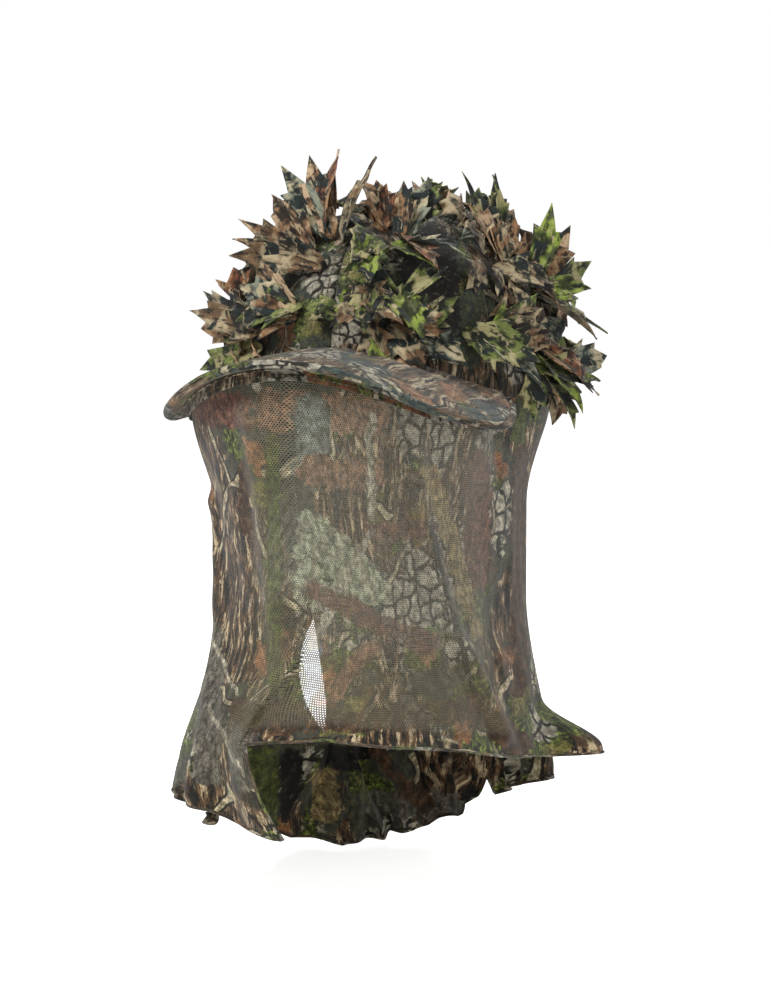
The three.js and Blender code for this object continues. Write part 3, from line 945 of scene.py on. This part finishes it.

# Parts of each cloth's print that have a place of their own, with painted shade, painted sheen and painted
# backlight among the tints: tint or kind of print, half width, and a line of places. The rest of the print
# falls anywhere.
PLACED_PRINT = {
    "front": [
        ("rust", 10, [(REAR, BROW), (CHEEK, BROW)]),
        ("umber", 4, [(CHEEK, EYES), (CHEEK, NOSE)]),
        ("bark", 15, [(CHEEK, NOSE), (CHEEK, CHIN)]),
        ("ash", 8, [(REAR, CHIN), (REAR, COLLAR)]),
        ("ash", 7, [(CHEEK, THROAT), (CHEEK, COLLAR)]),
        # painted sheen: these two pale streaks in the lower left pouch stand in for light caught on the knit
        ("sand", 1, [(REAR, CHIN), (CHEEK, THROAT)]),
        ("sand", 1, [(REAR, THROAT), (CHEEK, COLLAR)]),
        ("olive", 4, [(SEAM, BROW), (SEAM, THROAT)]),
        ("umber", 8, [(CHEEK, THROAT), (SLIT, THROAT)]),
        ("fawn", 11, [(SEAM, BROW), (MIDDLE, BROW)]),
        ("slate", 9, [(SLIT, BROW), (SLIT, EYES)]),
        ("fawn", 8, [(MIDDLE, EYES), (SLIT, EYES)]),
        ("lichen", 10, [(SLIT, NOSE), (SLIT, MOUTH)]),
        ("lichen", 10, [(SLIT, NOSE), (MIDDLE, MOUTH)]),
        # painted light: a pale patch at the slit, standing in for light from behind shining through the
        # single layer
        ("haze", 4, [(SLIT, CHIN), (SLIT, THROAT)]),
        ("sand", 2, [(MIDDLE, BROW), (MIDDLE, NOSE)]),
        ("rust", 5, [(MIDDLE, NOSE), (JAW, NOSE)]),
        ("sand", 2, [(MIDDLE, NOSE), (SLIT, CHIN)]),
        ("stone", 12, [(JAW, BROW), (TEMPLE, BROW)]),
        ("stone", 14, [(JAW, NOSE), (JAW, MOUTH)]),
        ("rust", 8, [(TEMPLE, EYES), (TEMPLE, MOUTH)]),
        ("straw", 4, [(JAW, EYES), (TEMPLE, CHIN)]),
        # painted shade: a dark line along a fold of the front cloth
        ("night", 2, [(JAW, NOSE), (TEMPLE, THROAT)]),
        ("rust", 5, [(SLIT, MOUTH), (JAW, CHIN)]),
        ("moss", 7, [(MIDDLE, CHIN), (JAW, CHIN)]),
        ("fawn", 5, [(SLIT, THROAT), (MIDDLE, CHIN)]),
        ("umber", 6, [(SLIT, THROAT), (TEMPLE, THROAT), (FAR, COLLAR)]),
        ("moss", 9, [(TEMPLE, THROAT), (FAR, COLLAR)]),
        ("olive", 4, [(FAR, BROW), (FAR, EYES)]),
        ("umber", 5, [(FAR, EYES), (FAR, THROAT)]),
    ],
    "side": [
        ("olive", 12, [(CHEEK, LAP), (CHEEK, FOOT)]),
        # painted shade: the dark inside of the veil below the front hem
        ("night", 7, [(SEAM, LAP), (SEAM, FOOT)]),
    ],
    "back": [
        ("straw", 9, [(SLIT, LAP), (SLIT, FOOT)]),
        # painted shade: the dark hole between the neck cloth's folds
        ("night", 6, [(SLIT, LAP), (MIDDLE, LAP)]),
        ("ash", 7, [(MIDDLE, FOOT), (TEMPLE, FOOT)]),
        ("umber", 5, [(MIDDLE, LAP), (JAW, FOOT)]),
        ("sand", 2, [(FAR, LAP), (FAR, FOOT)]),
    ],
    "crown": [
        ("night", 16, [(JAW, CROWN_HIGH), (JAW, CROWN_LOW)]),
        ("straw", 4, [(MIDDLE, CROWN_HIGH), (MIDDLE, CROWN_LOW)]),
    ],
}


def height_along(rows, bearing):
    bearings, heights = zip(*rows)
    return np.interp(bearing, bearings, heights)


def crease(bearing, z, line, width, height):
    """A soft ridge along a line of (bearing, height) points."""
    bearings, heights = zip(*line)
    at = np.interp(-z, [-h for h in heights], bearings)
    inside = smooth((heights[0] - z) / 12) * smooth((z - heights[-1]) / 12)
    return height * inside * bump((bearing - at) * 1.6, 0, width)


def veil_folds(bearing, z):
    """How far the hanging cloth stands out from its smooth shape."""
    base = veil_point(bearing, z)
    hang = smooth((veil_top(bearing)[..., 2] - z) / 90)
    soft = noise_field(base * [1, 1, 0.35], 34, 1.7) * 3.0
    small = noise_field(base * [1, 1, 0.6], 13, 4.4) * 0.9
    waist = bump(z, -70, 48) * (3.0 + 2.5 * bump(bearing, -70, 40))
    return (soft + small) * hang - waist


def front_folds(bearing, z):
    out = veil_folds(bearing, z)
    out += crease(bearing, z, [(38, 6), (50, -50), (62, -100), (78, -150), (84, -175)], 6, 5)
    out -= crease(bearing, z, [(33, 6), (44, -50), (56, -100), (72, -150), (78, -175)], 6, 3)
    out += crease(bearing, z, [(-9, 20), (-7, -60), (-2, -110), (2, -150)], 8, 5)
    out += crease(bearing, z, [(-48, -30), (-42, -100), (-30, -160), (-26, -200)], 9, 5)
    out += crease(bearing, z, [(-86, -60), (-80, -130), (-70, -210)], 9, 5)
    low = smooth((-140 - z) / 45)
    out += low * bump(bearing, 4, 60) * 4 * np.sin(bearing * 0.21 + 1.0)
    out *= smooth((bearing - FRONT_RIGHT) / 14) * smooth((FRONT_LEFT - bearing) / 14)
    return out + 30 * smooth((-158 - z) / 26) * bump(bearing, 111, 9)


def back_folds(bearing, z):
    out = veil_folds(bearing, z)
    low = smooth((-130 - z) / 100)
    out += low * 6 * np.sin((bearing - 180) * 0.27 + 0.6)
    out += low * 2 * np.sin((bearing - 180) * 0.66 + 2.0)
    for head, head_z, foot, foot_z, width, depth in PLEATS:
        down = np.clip((head_z - z) / (head_z - foot_z), 0, 1.2)
        across = (bearing - mix(head, foot, down)) / (width * np.maximum(down, 0.05))
        out -= depth * smooth(down * 2.5) * np.clip(1 - across, 0, 1) * smooth((across + 0.12) / 0.12)
    return out * smooth((bearing - FRONT_LEFT) / 14) * smooth((360 + FRONT_RIGHT - bearing) / 14)


def step_shift(bearing, z):
    """The step in the front hem leans, so its upper end lies further round to the right."""
    down = np.clip((z - STEP_FOOT) / (STEP_HEAD - STEP_FOOT), 0, 1)
    rise = smooth((-112 - z) / 50) * down
    return -15.0 * rise * bump(bearing, 3, 23)


def vent_shift(bearing, z, start, end):
    """Draws the side edges of the two cloths apart at the vents."""
    lens = np.clip(1 - ((z - VENT_MIDDLE) / VENT_HALF) ** 2, 0, 1)
    lean = -VENT_LEAN * smooth((-100 - z) / 90) * smooth((z + 245) / 40)
    near_start = np.clip(1 - (bearing - start) / 20, 0, 1)
    near_end = np.clip(1 - (end - bearing) / 20, 0, 1)
    if start == FRONT_RIGHT:
        return near_start * (lean + 10 * lens) - near_end * 5 * lens
    return near_start * 5 * lens + near_end * lean


def veil_grid(start, end, hem, columns, rows):
    """Bearings and heights of a cloth's points, and the bearings with its edges drawn apart."""
    v, bearing = np.meshgrid(np.linspace(0, 1, rows), np.linspace(start, end, columns), indexing="ij")
    top = veil_top((bearing + 180) % 360 - 180)[..., 2] + 2.0
    z = mix(top, height_along(hem, bearing), v)
    return bearing, z, bearing + vent_shift(bearing, z, start, end) + step_shift(bearing, z)


def distance_to_line(across, height, line):
    """Distance of each point of the view from a chain of straight pieces."""
    nearest = np.full(across.shape, 1e9)
    for (x0, z0), (x1, z1) in zip(line[:-1], line[1:]):
        dx, dz = x1 - x0, z1 - z0
        t = np.clip(((across - x0) * dx + (height - z0) * dz) / (dx * dx + dz * dz + 1e-9), 0, 1)
        nearest = np.minimum(nearest, np.hypot(across - x0 - t * dx, height - z0 - t * dz))
    return nearest


def place_print(piece, places, where):
    """Paints the placed parts of the print, with the painted shade, sheen and backlight among them. where
    gives the points that each cloth name means.
    """
    ragged = noise_field(places, 11, 6.1) * 2.2
    across = places @ ACROSS + ragged
    height = places[..., 2] + noise_field(places, 11, 9.4) * 2.2
    amount = np.zeros(across.shape)
    tint = np.zeros(across.shape + (4,))
    kinds = {kind: np.zeros(across.shape) for kind in ("bark", "stone", "moss")}
    for kind, width, line, shown in [(*row, where[cloth]) for cloth in where for row in PLACED_PRINT[cloth]]:
        value = np.clip(1 - distance_to_line(across, height, line) / (2 * width), 0, 1) * shown
        if kind in kinds:
            kinds[kind] = np.maximum(kinds[kind], value * 0.6)
        else:
            over = (value > 0.45) | (value > amount)
            tint[over & (value > 0.12)] = colour(PRINT_TINTS[kind])
            amount = np.where(over, value, amount)
    for kind, values in kinds.items():
        paint(piece, kind, values)
    paint(piece, "tinted", amount)
    paint_colour(piece, "tint", tint.reshape(-1, 4))


def finish_veil(piece, slot, *nodes):
    """Puts a piece of the veil in place of the CAD nodes named, and bakes its transform into its mesh."""
    if nodes:
        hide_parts(*nodes)
    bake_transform(piece)


def add_veil(front_mesh, back_mesh, hem_cloth):
    bearing, z, turned = veil_grid(FRONT_RIGHT, FRONT_LEFT, FRONT_HEM, 400, 160)
    front_places = veil_point((turned + 180) % 360 - 180, z, front_folds(bearing, z))
    uv = points(bearing * DEG * VEIL_ROUND, z + 10 * np.sin(bearing * DEG), 0)[..., :2]
    front = grid_piece("veil_front_cloth", front_places, uv, front_mesh)
    side = smooth((np.abs(bearing - 35) - 36) / 22)
    low = smooth((-150 - z) / 20)
    doubled = smooth((14 - z + height_along(FRONT_HEM, bearing)) / 12)
    closed = smooth((-105 - z) / 15) * smooth((-84 - bearing) / 10)
    closed = closed + low * smooth((bearing - 94) / 8) + doubled * 0.55
    under_bill = smooth((-8 - bearing) / 20) * smooth((z + 70) / 50)
    paint(front, "cover", mix(0.46, 0.84, np.maximum(side, low * 0.7)) + closed + under_bill * 0.36)
    ragged = noise_field(front_places, 16, 7.7) * 9
    near = smooth((bearing + 62 + ragged) / 5)
    inner = smooth((-88 - bearing + ragged * 0.3) / 4)
    place_print(front, front_places, {"front": near, "side": inner})
    finish_veil(front, "veil_mesh", "veil_face_panel", "veil_side_left", "veil_side_right")

    bearing, z, turned = veil_grid(FRONT_LEFT, 360 + FRONT_RIGHT, BACK_HEM, 260, 170)
    back_places = veil_point((turned + 180) % 360 - 180, z, back_folds(bearing, z))
    uv = points(bearing * DEG * VEIL_ROUND, z + 10 * np.sin(bearing * DEG), 0)[..., :2]
    back = grid_piece("neck_curtain_cloth", back_places, uv, back_mesh)
    paint(back, "cover", mix(0.86, 1.6, smooth((-140 - z) / 30)))
    place_print(back, back_places, {"back": np.ones(bearing.shape)})
    finish_veil(back, "veil_mesh", "neck_curtain_left", "neck_curtain_right")

    sides = ("veil_face_hem", "veil_side_hem_left", "veil_side_hem_right")
    hem = tube_piece("veil_front_hem", front_places[-1], HEM_RADIUS, hem_cloth, 8)
    finish_veil(hem, "veil_hem", *sides)
    neck = tube_piece("neck_curtain_hem", back_places[-1], HEM_RADIUS, hem_cloth, 8)
    finish_veil(neck, "veil_hem", "neck_curtain_hem_left", "neck_curtain_hem_right")


def add_hem_tail(cloth):
    """The knotted end of the hem tape, at the right."""
    turn = np.linspace(0, 1, 14)
    root = veil_point(np.array([-88.0]), np.array([-219.0]), np.array([0.0]))[0]
    path = root + points(5 - 7 * turn, 2 - 3 * turn, -9 * np.sin(turn * 2.0))
    radius = 2.4 + 2.4 * bump(turn, 0.55, 0.22) + 0.8 * bump(turn, 0.95, 0.12)
    finish_veil(tube_piece("hem_tail", path, radius, cloth, 12), "veil_hem")


def add_yoke(cloth, thread):
    """The tape that the veil is sewn to under the bill."""
    bearing = np.linspace(-89, 89, 200)
    top = veil_top(bearing)
    v = np.linspace(0, 1, 7)[:, None]
    edge_x, edge_y = bill_edge(bearing, VEIL_INSET - 4)
    flange = points(edge_x, edge_y, bill_height(edge_x, edge_y) - BILL_FACE - 0.9)
    corner = top + [0, 0, 0.2]
    foot = veil_point(bearing, top[:, 2] - 6.0, 0.9)
    above = mix(flange[None], corner[None], v[..., None])
    places = np.concatenate([above, mix(corner[None], foot[None], v[1:, :, None])])
    reach = np.linspace(0, 11, len(places))[:, None]
    uv = points(bearing * 1.9 + 0 * reach, reach + 0 * bearing, 0)[..., :2]
    yoke = grid_piece("veil_yoke_tape", places, uv, cloth)
    thicken(yoke, 0.8, 0.0)
    settle(yoke, "root", "veil_mesh", "veil_yoke")
    line = mix(corner, foot, 0.6) + (foot - veil_point(bearing, top[:, 2] - 6.0, 0.0)) * 0.6
    out = foot - veil_point(bearing, top[:, 2] - 6.0, 0.0)
    piece = stitches("veil_yoke_stitching", [(line, out)], thread, 3.4, 2.3, 0.4)
    settle(piece, "root", "veil_mesh")


# ---------------------------------------------------------------------- leaves

# dark print, light print, second print and plain back of each kind of leaf cloth
LEAF_TONES = {
    "brown": ("30251c", "876c52", "a6927a", "967a5e"),
    "green": ("232a1c", "6c7544", "8f8a68", "626a42"),
    "lime": ("363d1e", "7f8c46", "50563a", "747f44"),
    "bark": ("312e26", "9c9078", "6e5a44", "98866c"),
    "teal": ("1f2a2a", "7f8274", "a39a82", "454f49"),
    "rust": ("38291f", "7a5540", "94775a", "80583e"),
    "tan": ("8a7056", "b69c7e", "9a8062", "a98d6c"),
}
LEAF_CLOTH = 0.5


def leaf_half(t):
    """Half width of a plain pointed leaf, 1 at its widest."""
    return min(1.0, (t / 0.28) ** 0.6) * (1 - max(0.0, (t - 0.28) / 0.72)) ** 0.85


def leaf_outline(rng, lobes, spike):
    """Half width of a leaf on each side, from its foot at 0 to its tip at 1, as breakpoints."""
    sides = []
    for _ in range(2):
        at, half = [0.0, 0.06], [0.12, 0.42]
        lag = rng.uniform(-0.03, 0.05)
        valley = mix(0.90, 0.50, spike)
        for k in range(lobes):
            foot = 0.12 + lag + 0.62 * k / lobes
            point = foot + 0.62 * 0.72 / lobes
            at += [foot, point, point + 0.03]
            size = rng.uniform(0.85, 1.15) * leaf_half(point)
            half += [valley * leaf_half(foot), size, valley * leaf_half(point + 0.03)]
        sides.append((at + [1.0], half + [0.0]))
    return sides


def leaf_spine(root, tip, bow, rows):
    middle = (root + tip) / 2 + bow
    t = rows[:, None]
    return (1 - t) ** 2 * root + 2 * t * (1 - t) * middle + t**2 * tip


def leaf_places(rng, root, tip, outward, width, lobes=3, spike=0.6, bow=6.0, roll=0.0, twist=0.0, cup=0.2):
    """The middle surface of one leaf: places and layout, each rows by columns."""
    length = np.linalg.norm(tip - root)
    sides = leaf_outline(rng, lobes, spike)
    rows = np.unique(np.round(np.concatenate([sides[0][0], sides[1][0], np.linspace(0, 1, 17)]), 3))
    rows = rows[(rows >= 0) & (rows <= 1)]
    spine = leaf_spine(root, tip, outward * bow, rows)
    along = np.gradient(spine, axis=0)
    along /= np.linalg.norm(along, axis=1, keepdims=True)
    side = np.cross(along, outward)
    side /= np.linalg.norm(side, axis=1, keepdims=True) + 1e-9
    face = np.cross(side, along)
    angle = (roll + twist * rows)[:, None] * DEG
    across = side * np.cos(angle) + face * np.sin(angle)
    normal = face * np.cos(angle) - side * np.sin(angle)
    left = np.interp(rows, *sides[0]) * width / 2
    right = np.interp(rows, *sides[1]) * width / 2
    columns = np.linspace(-1, 1, 7)
    x = np.where(columns < 0, columns * left[:, None], columns * right[:, None])
    lean = 0.45 * np.abs(x)
    wave = rng.uniform(-1.2, 1.2) * np.sin(rows * 9 + rng.uniform(0, 6))[:, None]
    lift = 1.5 * cup * np.abs(x) + wave * np.abs(columns)
    places = spine[:, None] + across[:, None] * x[..., None] + normal[:, None] * lift[..., None]
    places += along[:, None] * lean[..., None]
    layout = points(x, rows[:, None] * length + lean, 0)[..., :2]
    return places, layout + np.array([rng.uniform(0, 2000), rng.uniform(0, 2000)])


class Cluster:
    """Leaves that are sewn on together and make one piece."""

    def __init__(self):
        self.places, self.faces, self.uv, self.tones, self.count = [], [], [], [], 0

    def add(self, places, layout, tone):
        rows, columns = places.shape[:2]
        self.faces += grid_faces(rows, columns, self.count)
        self.places.append(places.reshape(-1, 3))
        self.uv.append(layout.reshape(-1, 2))
        self.tones += [tone] * (rows * columns)
        self.count += rows * columns

    def piece(self, name, materials):
        places, uv = np.concatenate(self.places), np.concatenate(self.uv)
        piece = mesh_piece(name, places, self.faces, uv, materials)
        for index, kind in enumerate(("dark", "light", "other", "back")):
            paint_colour(piece, kind, [colour(LEAF_TONES[tone][index]) for tone in self.tones])
        layer = thicken(piece, LEAF_CLOTH, 0.0).modifiers["cloth"]
        layer.material_offset = 1
        layer.material_offset_rim = 0
        return piece


# cluster, bearing, rise, tone, number of loose leaves, slot
CLUSTERS = [
    ("leaf_top_front_right", -55, 0.66, "brown", 10, "leaf_brown"),
    ("leaf_top_centre", -10, 0.86, "brown", 5, "leaf_brown"),
    ("leaf_top_left", 70, 0.78, "bark", 8, "leaf_bark"),
    ("leaf_top_back", 165, 0.76, "green", 14, "leaf_green"),
    ("leaf_upper_right", -86, 0.48, "bark", 13, "leaf_bark"),
    ("leaf_side_right", -80, 0.26, "brown", 13, "leaf_brown"),
    ("leaf_low_front_right", -58, 0.14, "bark", 9, "leaf_bark"),
    ("leaf_low_right", -112, 0.14, "green", 8, "leaf_green"),
    ("leaf_upper_left", 78, 0.52, "bark", 9, "leaf_bark"),
    ("leaf_side_left", 96, 0.34, "brown", 9, "leaf_brown"),
    ("leaf_low_left", 84, 0.16, "green", 9, "leaf_green"),
    ("leaf_hanging_left", 108, 0.10, "green", 6, "leaf_green"),
    ("leaf_upper_back_left", 140, 0.50, "brown", 14, "leaf_brown"),
    ("leaf_back_left", 150, 0.34, "green", 12, "leaf_green"),
    ("leaf_back", 180, 0.60, "bark", 14, "leaf_bark"),
    ("leaf_back_right", -150, 0.34, "brown", 12, "leaf_brown"),
    ("leaf_upper_back_right", -138, 0.52, "green", 14, "leaf_green"),
    ("leaf_front", 18, 0.20, "green", 6, "leaf_green"),
]


# Each cluster's fans of leaves for the three-quarter view: bearing and rise of the feet, the
# way they point in degrees from upright towards the wearer's left, how far they fan out, lift,
# length, width, lobes and the tone of each leaf
FANS = {
    "leaf_top_front_right": [
        (-10, 0.58, -15, 90, 26, 44, 26, 1, "teal brown brown rust bark"),
    ],
    "leaf_top_centre": [
        (20, 0.62, 10, 80, 14, 32, 22, 2, "brown rust brown teal green"),
        (18, 0.56, 170, 110, 10, 40, 26, 3, "teal lime rust lime green lime"),
    ],
    "leaf_upper_right": [
        (-10, 0.44, -75, 60, 14, 50, 26, 2, "bark bark brown brown"),
    ],
    "leaf_side_right": [
        (-16, 0.20, -80, 70, 6, 36, 28, 2, "green brown teal brown"),
    ],
    "leaf_low_front_right": [
        (-30, 0.12, -90, 50, 14, 55, 28, 2, "green tan bark bark"),
    ],
    "leaf_front": [
        (14, 0.30, 180, 120, 8, 34, 24, 3, "bark lime green lime bark"),
        (24, 0.12, 110, 130, 6, 28, 22, 2, "green bark brown teal bark lime"),
    ],
    "leaf_low_left": [
        (52, 0.16, 95, 110, 14, 42, 32, 2, "lime bark bark green teal"),
    ],
    "leaf_upper_left": [
        (74, 0.58, 5, 60, 20, 36, 16, 1, "green green green"),
        (70, 0.50, 60, 220, 10, 34, 24, 2, "brown bark brown brown bark brown"),
    ],
    "leaf_side_left": [
        (86, 0.38, 90, 160, 24, 40, 26, 1, "lime brown green lime green bark"),
    ],
    "leaf_hanging_left": [
        (84, 0.14, 140, 130, 22, 38, 28, 2, "teal green teal rust lime green"),
    ],
}


def outward_at(bearing, rise):
    low, high = crown_point(bearing, rise - 0.01), crown_point(bearing, rise + 0.01)
    left, right = crown_point(bearing - 1.0, rise), crown_point(bearing + 1.0, rise)
    out = np.cross(right - left, high - low)
    return out / np.linalg.norm(out)


def leaf_way(bearing, rise, heading):
    """The outward direction at a place on the crown, and one along it at a heading in degrees."""
    out = outward_at(bearing, rise)
    side = np.cross(out, [0.0, 0.0, 1.0])
    side /= np.linalg.norm(side)
    up = np.cross(side, out)
    return out, up * math.cos(heading * DEG) - side * math.sin(heading * DEG)


def fan_leaf(rng, cluster, bearing, rise, heading, lift, length, width, lobes, tone):
    """A leaf of a fan. Its foot and its set vary a little."""
    bearing += rng.uniform(-8, 8)
    rise += rng.uniform(-0.05, 0.05)
    out, along = leaf_way(bearing, rise, heading)
    root = crown_point(bearing, rise, 1.5)
    tip = root + along * length * rng.uniform(0.85, 1.15) + out * lift
    roll, twist, spike = rng.uniform(-20, 30), rng.uniform(0, 40), rng.uniform(0.4, 0.9)
    places, layout = leaf_places(rng, root, tip, out, width, lobes, spike, 5.0, roll, twist, 0.25)
    cluster.add(places, layout, tone)


def loose_leaf(rng, cluster, bearing, rise, tone):
    """A leaf sewn near the middle of its cluster, with its free end lifting off the crown."""
    bearing += rng.uniform(-20, 20)
    rise = float(np.clip(rise + rng.uniform(-0.12, 0.12), 0.10, 0.93))
    root = crown_point(bearing, rise, rng.uniform(1.0, 3.5))
    out, along = leaf_way(bearing, rise, rng.uniform(0, 360))
    behind = abs(bearing) > 125
    length = rng.uniform(24, 40) if behind else rng.uniform(18, 32)
    lift = rng.uniform(5, 17) if behind else rng.uniform(0, 5)
    tip = root + along * length + out * lift - [0, 0, length * 0.1]
    kind = tone if rng.random() < 0.55 else rng.choice(list(LEAF_TONES))
    width, lobes, spike = rng.uniform(18, 30), rng.choice((1, 1, 2, 2)), rng.uniform(0.2, 0.8)
    bow, roll, twist = rng.uniform(2, 9), rng.uniform(-25, 25), rng.uniform(-60, 60)
    cup = rng.uniform(-0.3, 0.5)
    places, layout = leaf_places(rng, root, tip, out, width, lobes, spike, bow, roll, twist, cup)
    cluster.add(places, layout, kind)


def add_fan(rng, cluster, bearing, rise, heading, spread, lift, length, width, lobes, tones):
    tones = tones.split()
    for index, tone in enumerate(tones):
        turn = spread * ((index + 0.5) / len(tones) - 0.5)
        fan_leaf(rng, cluster, bearing, rise, heading + turn, lift, length, width, lobes, tone)


def add_leaves(front, back):
    rng = random.Random(29)
    for name, bearing, rise, tone, count, slot in CLUSTERS:
        cluster = Cluster()
        for fan in FANS.get(name, ()):
            add_fan(rng, cluster, *fan)
        for _ in range(count):
            loose_leaf(rng, cluster, bearing, rise, tone)
        piece = cluster.piece(name + "_leaves", [front, back])
        settle(piece, "root", slot, name)


# ------------------------------------------------------------------------ main


def dress_frame(material, nodes):
    """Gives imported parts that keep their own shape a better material."""
    for name in nodes:
        part = next(o for o in bpy.data.objects if o.get("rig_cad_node") == name)
        part.data.materials.clear()
        part.data.materials.append(material)


def main():
    add_camera()
    add_studio()
    crown_cloth = printed_cloth("printed_twill", 1)
    bill_cloth = printed_cloth("printed_bill_twill", 5, -62, ("3a4542", "565c50"), 0.09)
    under_cloth = printed_cloth("bill_under_twill", 9, 10, ("5e3f2a", "80583c"))
    thread = plain_cloth("sewing_thread", "55503e", "7a745c", 0.5)
    hem_cloth = printed_cloth("hem_tape", 7, 90, ("443c30", "655443"), 0.28)
    lining = plain_cloth("lining_cloth", "23261f", "383b30", 1.0)
    hooks = plain_cloth("hook_tape", "1c1e1a", "34362e", 1.4)
    loops = plain_cloth("loop_tape", "2a2c26", "484a3e", 1.1)

    add_crown(crown_cloth, thread)
    add_bill(bill_cloth, under_cloth, thread)
    add_straps(crown_cloth, hooks, loops, thread)
    add_sweatband(lining, thread)
    add_veil(veil_mesh("veil_knit", 3, 8, 30), veil_mesh("neck_knit", 11, 80, 52), hem_cloth)
    add_hem_tail(hem_cloth)
    add_yoke(under_cloth, thread)
    add_leaves(leaf_front("leaf_print"), leaf_back("leaf_reverse"))

    tapes = [name for name in frame["nodes"] if name.startswith("seam_tape")]
    dress_frame(frame_cloth("seam_tape_cloth", "2b2e27", "44473b"), tapes)
    dress_frame(frame_cloth("buckram", "3c3d34", "5a5a4c", 1.6), ["front_stiffener"])
    dress_frame(frame_cloth("button_cloth", "3c4238", "5a5e48"), ["crown_button"])
    dress_frame(frame_cloth("bill_board_plastic", "20221d", "2c2e28", 4.0), ["bill_board"])


main()
